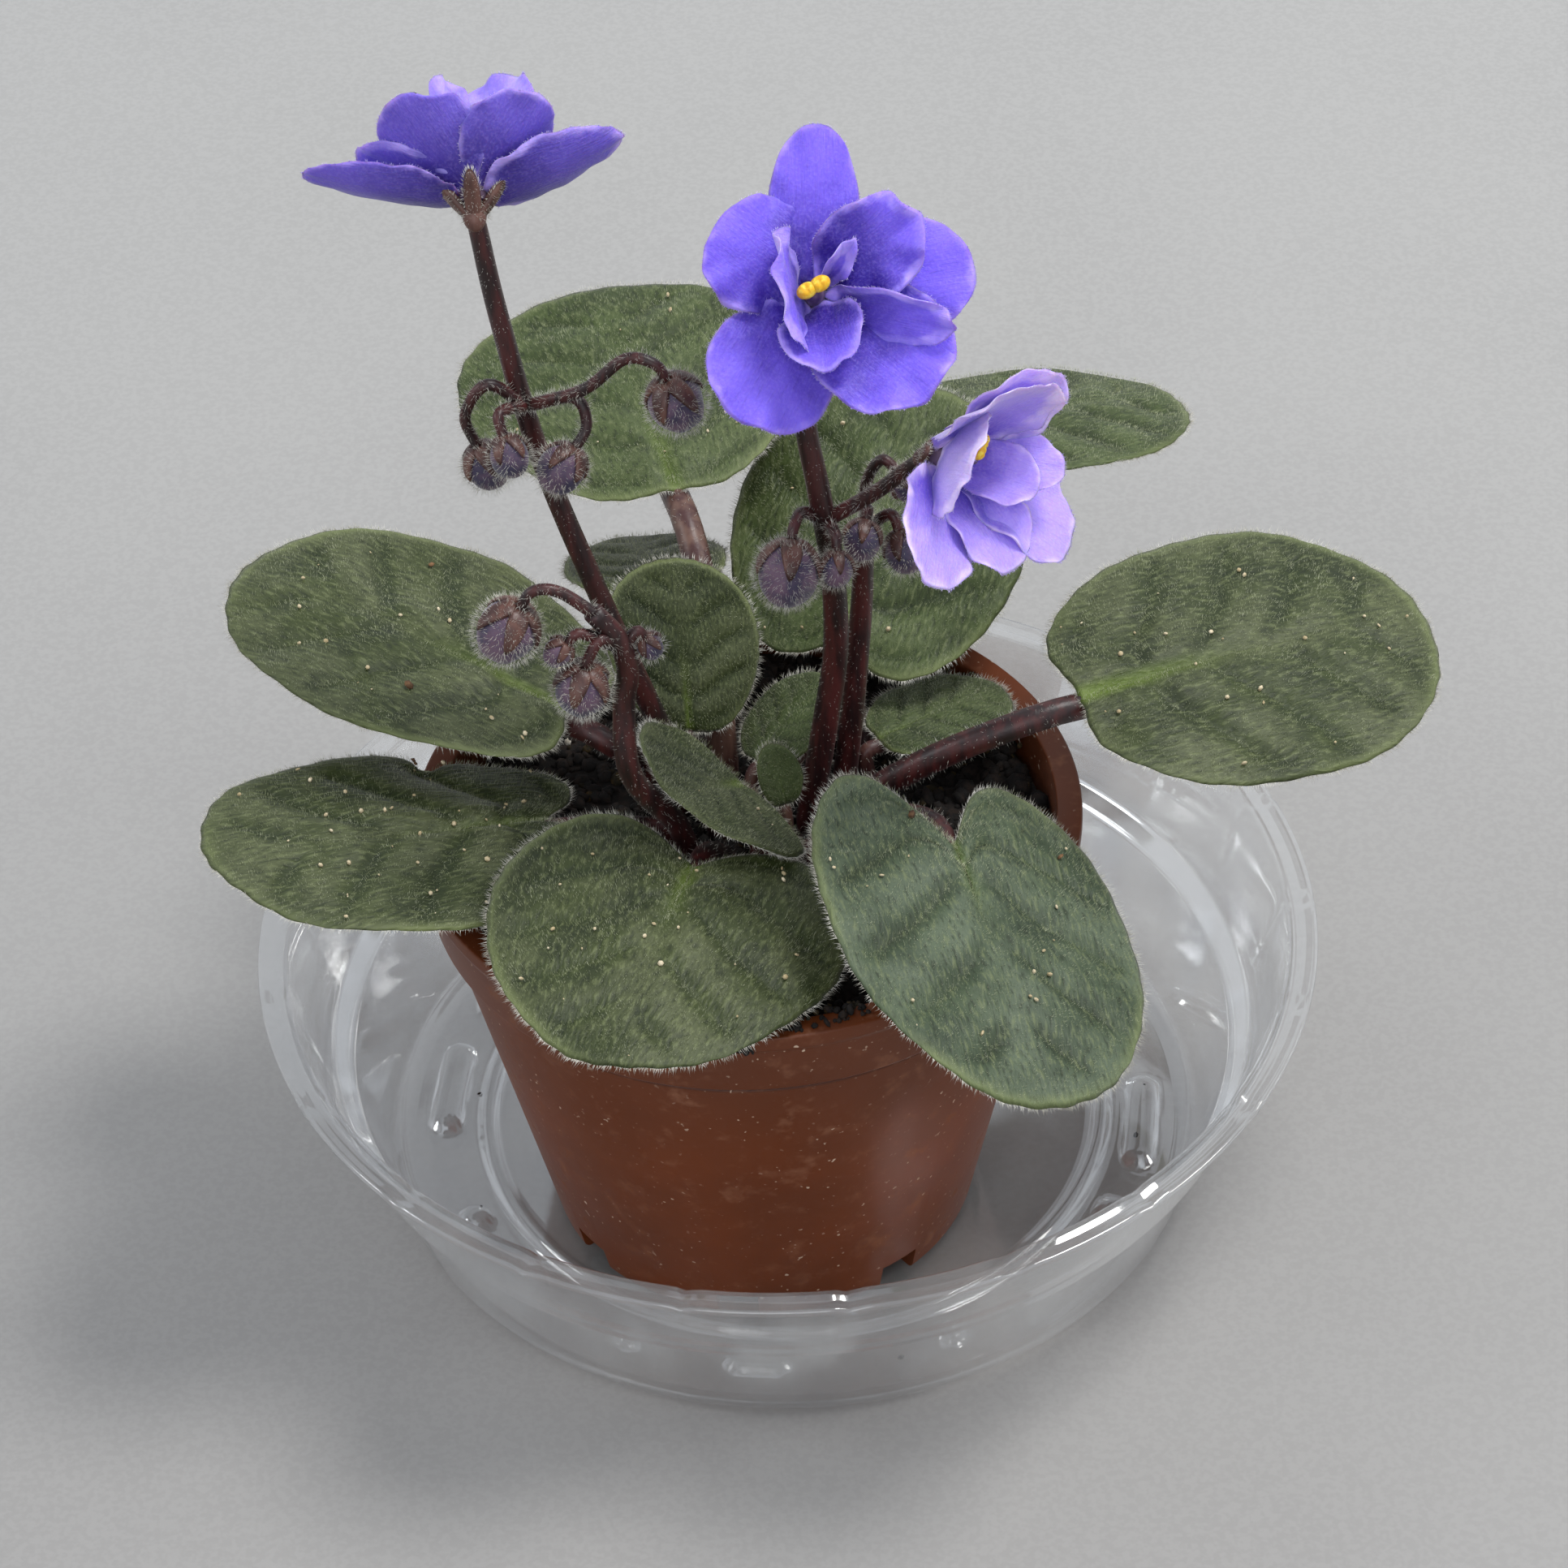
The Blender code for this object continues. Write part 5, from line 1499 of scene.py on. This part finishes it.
# %% Saucer finish
def saucer_finish():
    """Clear where it is seen straight on and whiter edge-on, with painted glints where the floor's
    relief slopes and painted reflection streaks on the wall.
    """
    finish = Finish("clear_plastic", Metallic=0.85)
    haze = finish.clouds(90, 0.3, 0.8, detail=2)
    slope, wall, _ = finish.spot()
    facing = finish.add("ShaderNodeLayerWeight", Blend=0.5).outputs["Facing"]
    clear = finish.between(finish.combine("POWER", facing, 3.0), 0, 1, 0.12, 0.9)
    # Painted glints: the slopes of the ring, ribs and bumps are less clear, so they show as bright
    # lines.
    painted_slope_glints = finish.between(slope, 0.1, 1.0, 0, 0.45)
    # Painted reflections: pale streaks run up the wall, over a faint whitening of the whole wall.
    painted_reflection_noise = finish.noise(75, 2, vector=finish.drawn_up(0.12))
    streaks = finish.times(finish.between(painted_reflection_noise, 0.44, 0.66, 0.14, 0.6), wall)
    finish.emboss(finish.noise(70, 1), 0.25, 0.35)
    return finish.done(finish.mix(haze, (253, 254, 254), (246, 248, 250)),
                       Roughness=finish.between(haze, 0, 1, 0.04, 0.14),
                       Alpha=finish.plus(clear, finish.plus(painted_slope_glints, streaks)))


# %% [markdown]
# The ring, the ribs and the bumps are soft hills on the floor: a rib is a bump that is drawn out
# to a length. The rim has short dents, where the thin plastic has been bent.

# %% Relief of the saucer
SAUCER_RADIUS = 66.0
SAUCER_HEIGHT = 33.5
HILL_HEIGHT = 1.6
RING_RADIUS = 39.4
RING_WIDTH = 1.6
RIB_ORBIT = 44.6
RIB_RADIUS = 2.2
RIB_LENGTHS = (12.0, 12.0, 12.0, 4.0)
RIB_TURN = -8.0
TURNS_OF_BUMPS = (31.0, 69.0)
CREASES = 21
CREASE_DEPTH = 0.45
CREASE_WIDTH = 0.9
RIM_BOTTOM = 32.5
RIM_INSIDE = 61.5


def floor_rise(x, y):
    """How far the floor's upper skin rises at a point, from the ring, the ribs and the bumps."""
    off_ring = (math.hypot(x, y) - RING_RADIUS) / RING_WIDTH
    rise = HILL_HEIGHT * max(0.0, 1 - off_ring ** 2) ** 1.5
    for quarter, rib in enumerate(RIB_LENGTHS):
        for more, length in ((0, rib), (TURNS_OF_BUMPS[0], 0.0), (TURNS_OF_BUMPS[1], 0.0)):
            turn = math.radians(RIB_TURN + 90 * quarter + more)
            out = x * math.cos(turn) + y * math.sin(turn) - RIB_ORBIT
            side = max(0.0, abs(y * math.cos(turn) - x * math.sin(turn)) - length / 2)
            if out > -RIB_ORBIT / 2:
                share = math.hypot(out, side) / RIB_RADIUS
                rise = max(rise, HILL_HEIGHT * max(0.0, 1 - share ** 2) ** 0.6)
    return rise


def rim_crease(x, y, z):
    """How far the turned-out rim is dented at a point: one short dent every few degrees."""
    if z < RIM_BOTTOM or math.hypot(x, y) < RIM_INSIDE:
        return 0.0
    place = CREASES * math.atan2(y, x) / math.tau
    off = (place - round(place)) / CREASES * math.tau * SAUCER_RADIUS
    return CREASE_DEPTH * math.exp(-(off / CREASE_WIDTH) ** 2)


# %% Saucer
SAUCER_STEPS = 360
SAUCER_CORNER = 0.5
SLOPE_STEP = 0.2
WALL_BOTTOM = SAUCER_FLOOR + 2
WALL_TOP = 31.5


def saucer_profile():
    """Up the outside, over the beads of the rim, down the inside and along the floor."""
    outside = [(0, 0), (49.5, 0), (51.9, 1.2), (56.2, 16.0), (58.4, 17.6), (63.0, 32.3),
               (65.6, 32.4), (SAUCER_RADIUS, 32.9)]
    flange = [(65.8, SAUCER_HEIGHT), (65.2, 33.4), (64.6, 33.0), (63.9, 33.0), (63.4, 33.4),
              (62.8, 33.4)]
    inside = [(62.2, 32.9), (57.8, 18.2), (55.4, 16.6), (51.0, 2.6), (49.2, SAUCER_FLOOR)]
    rings = [(radius, SAUCER_FLOOR) for radius in (*np.arange(48.8, 33.0, -0.5), 20.0, 0.0)]
    return [*rounded(outside, SAUCER_CORNER), *flange, *rounded(inside, SAUCER_CORNER), *rings]


bm = spun(saucer_profile(), SAUCER_STEPS)
spot = bm.verts.layers.float_vector.new("spot")
for vert in bm.verts:
    x, y, z = vert.co
    if abs(z - SAUCER_FLOOR) < 0.01:
        vert.co.z += floor_rise(x, y)
        slope = math.hypot(floor_rise(x + SLOPE_STEP, y) - floor_rise(x - SLOPE_STEP, y),
                           floor_rise(x, y + SLOPE_STEP) - floor_rise(x, y - SLOPE_STEP))
        # The slope is kept in spot, for the finish's painted glints on the relief.
        vert[spot] = (min(1.0, slope / (4 * SLOPE_STEP)), 0, 0)
    # The wall is marked in spot, for the finish's painted reflection streaks.
    if WALL_BOTTOM < z < WALL_TOP:
        vert[spot] = (0, 1, 0)
    vert.co.z -= rim_crease(x, y, z)
bmesh.ops.recalc_face_normals(bm, faces=bm.faces)
bmesh.ops.translate(bm, verts=bm.verts, vec=(*SAUCER_AT, 0))
assemble("clear_saucer", [(keep_mesh(bm), 0)], [saucer_finish()], ["saucer"])
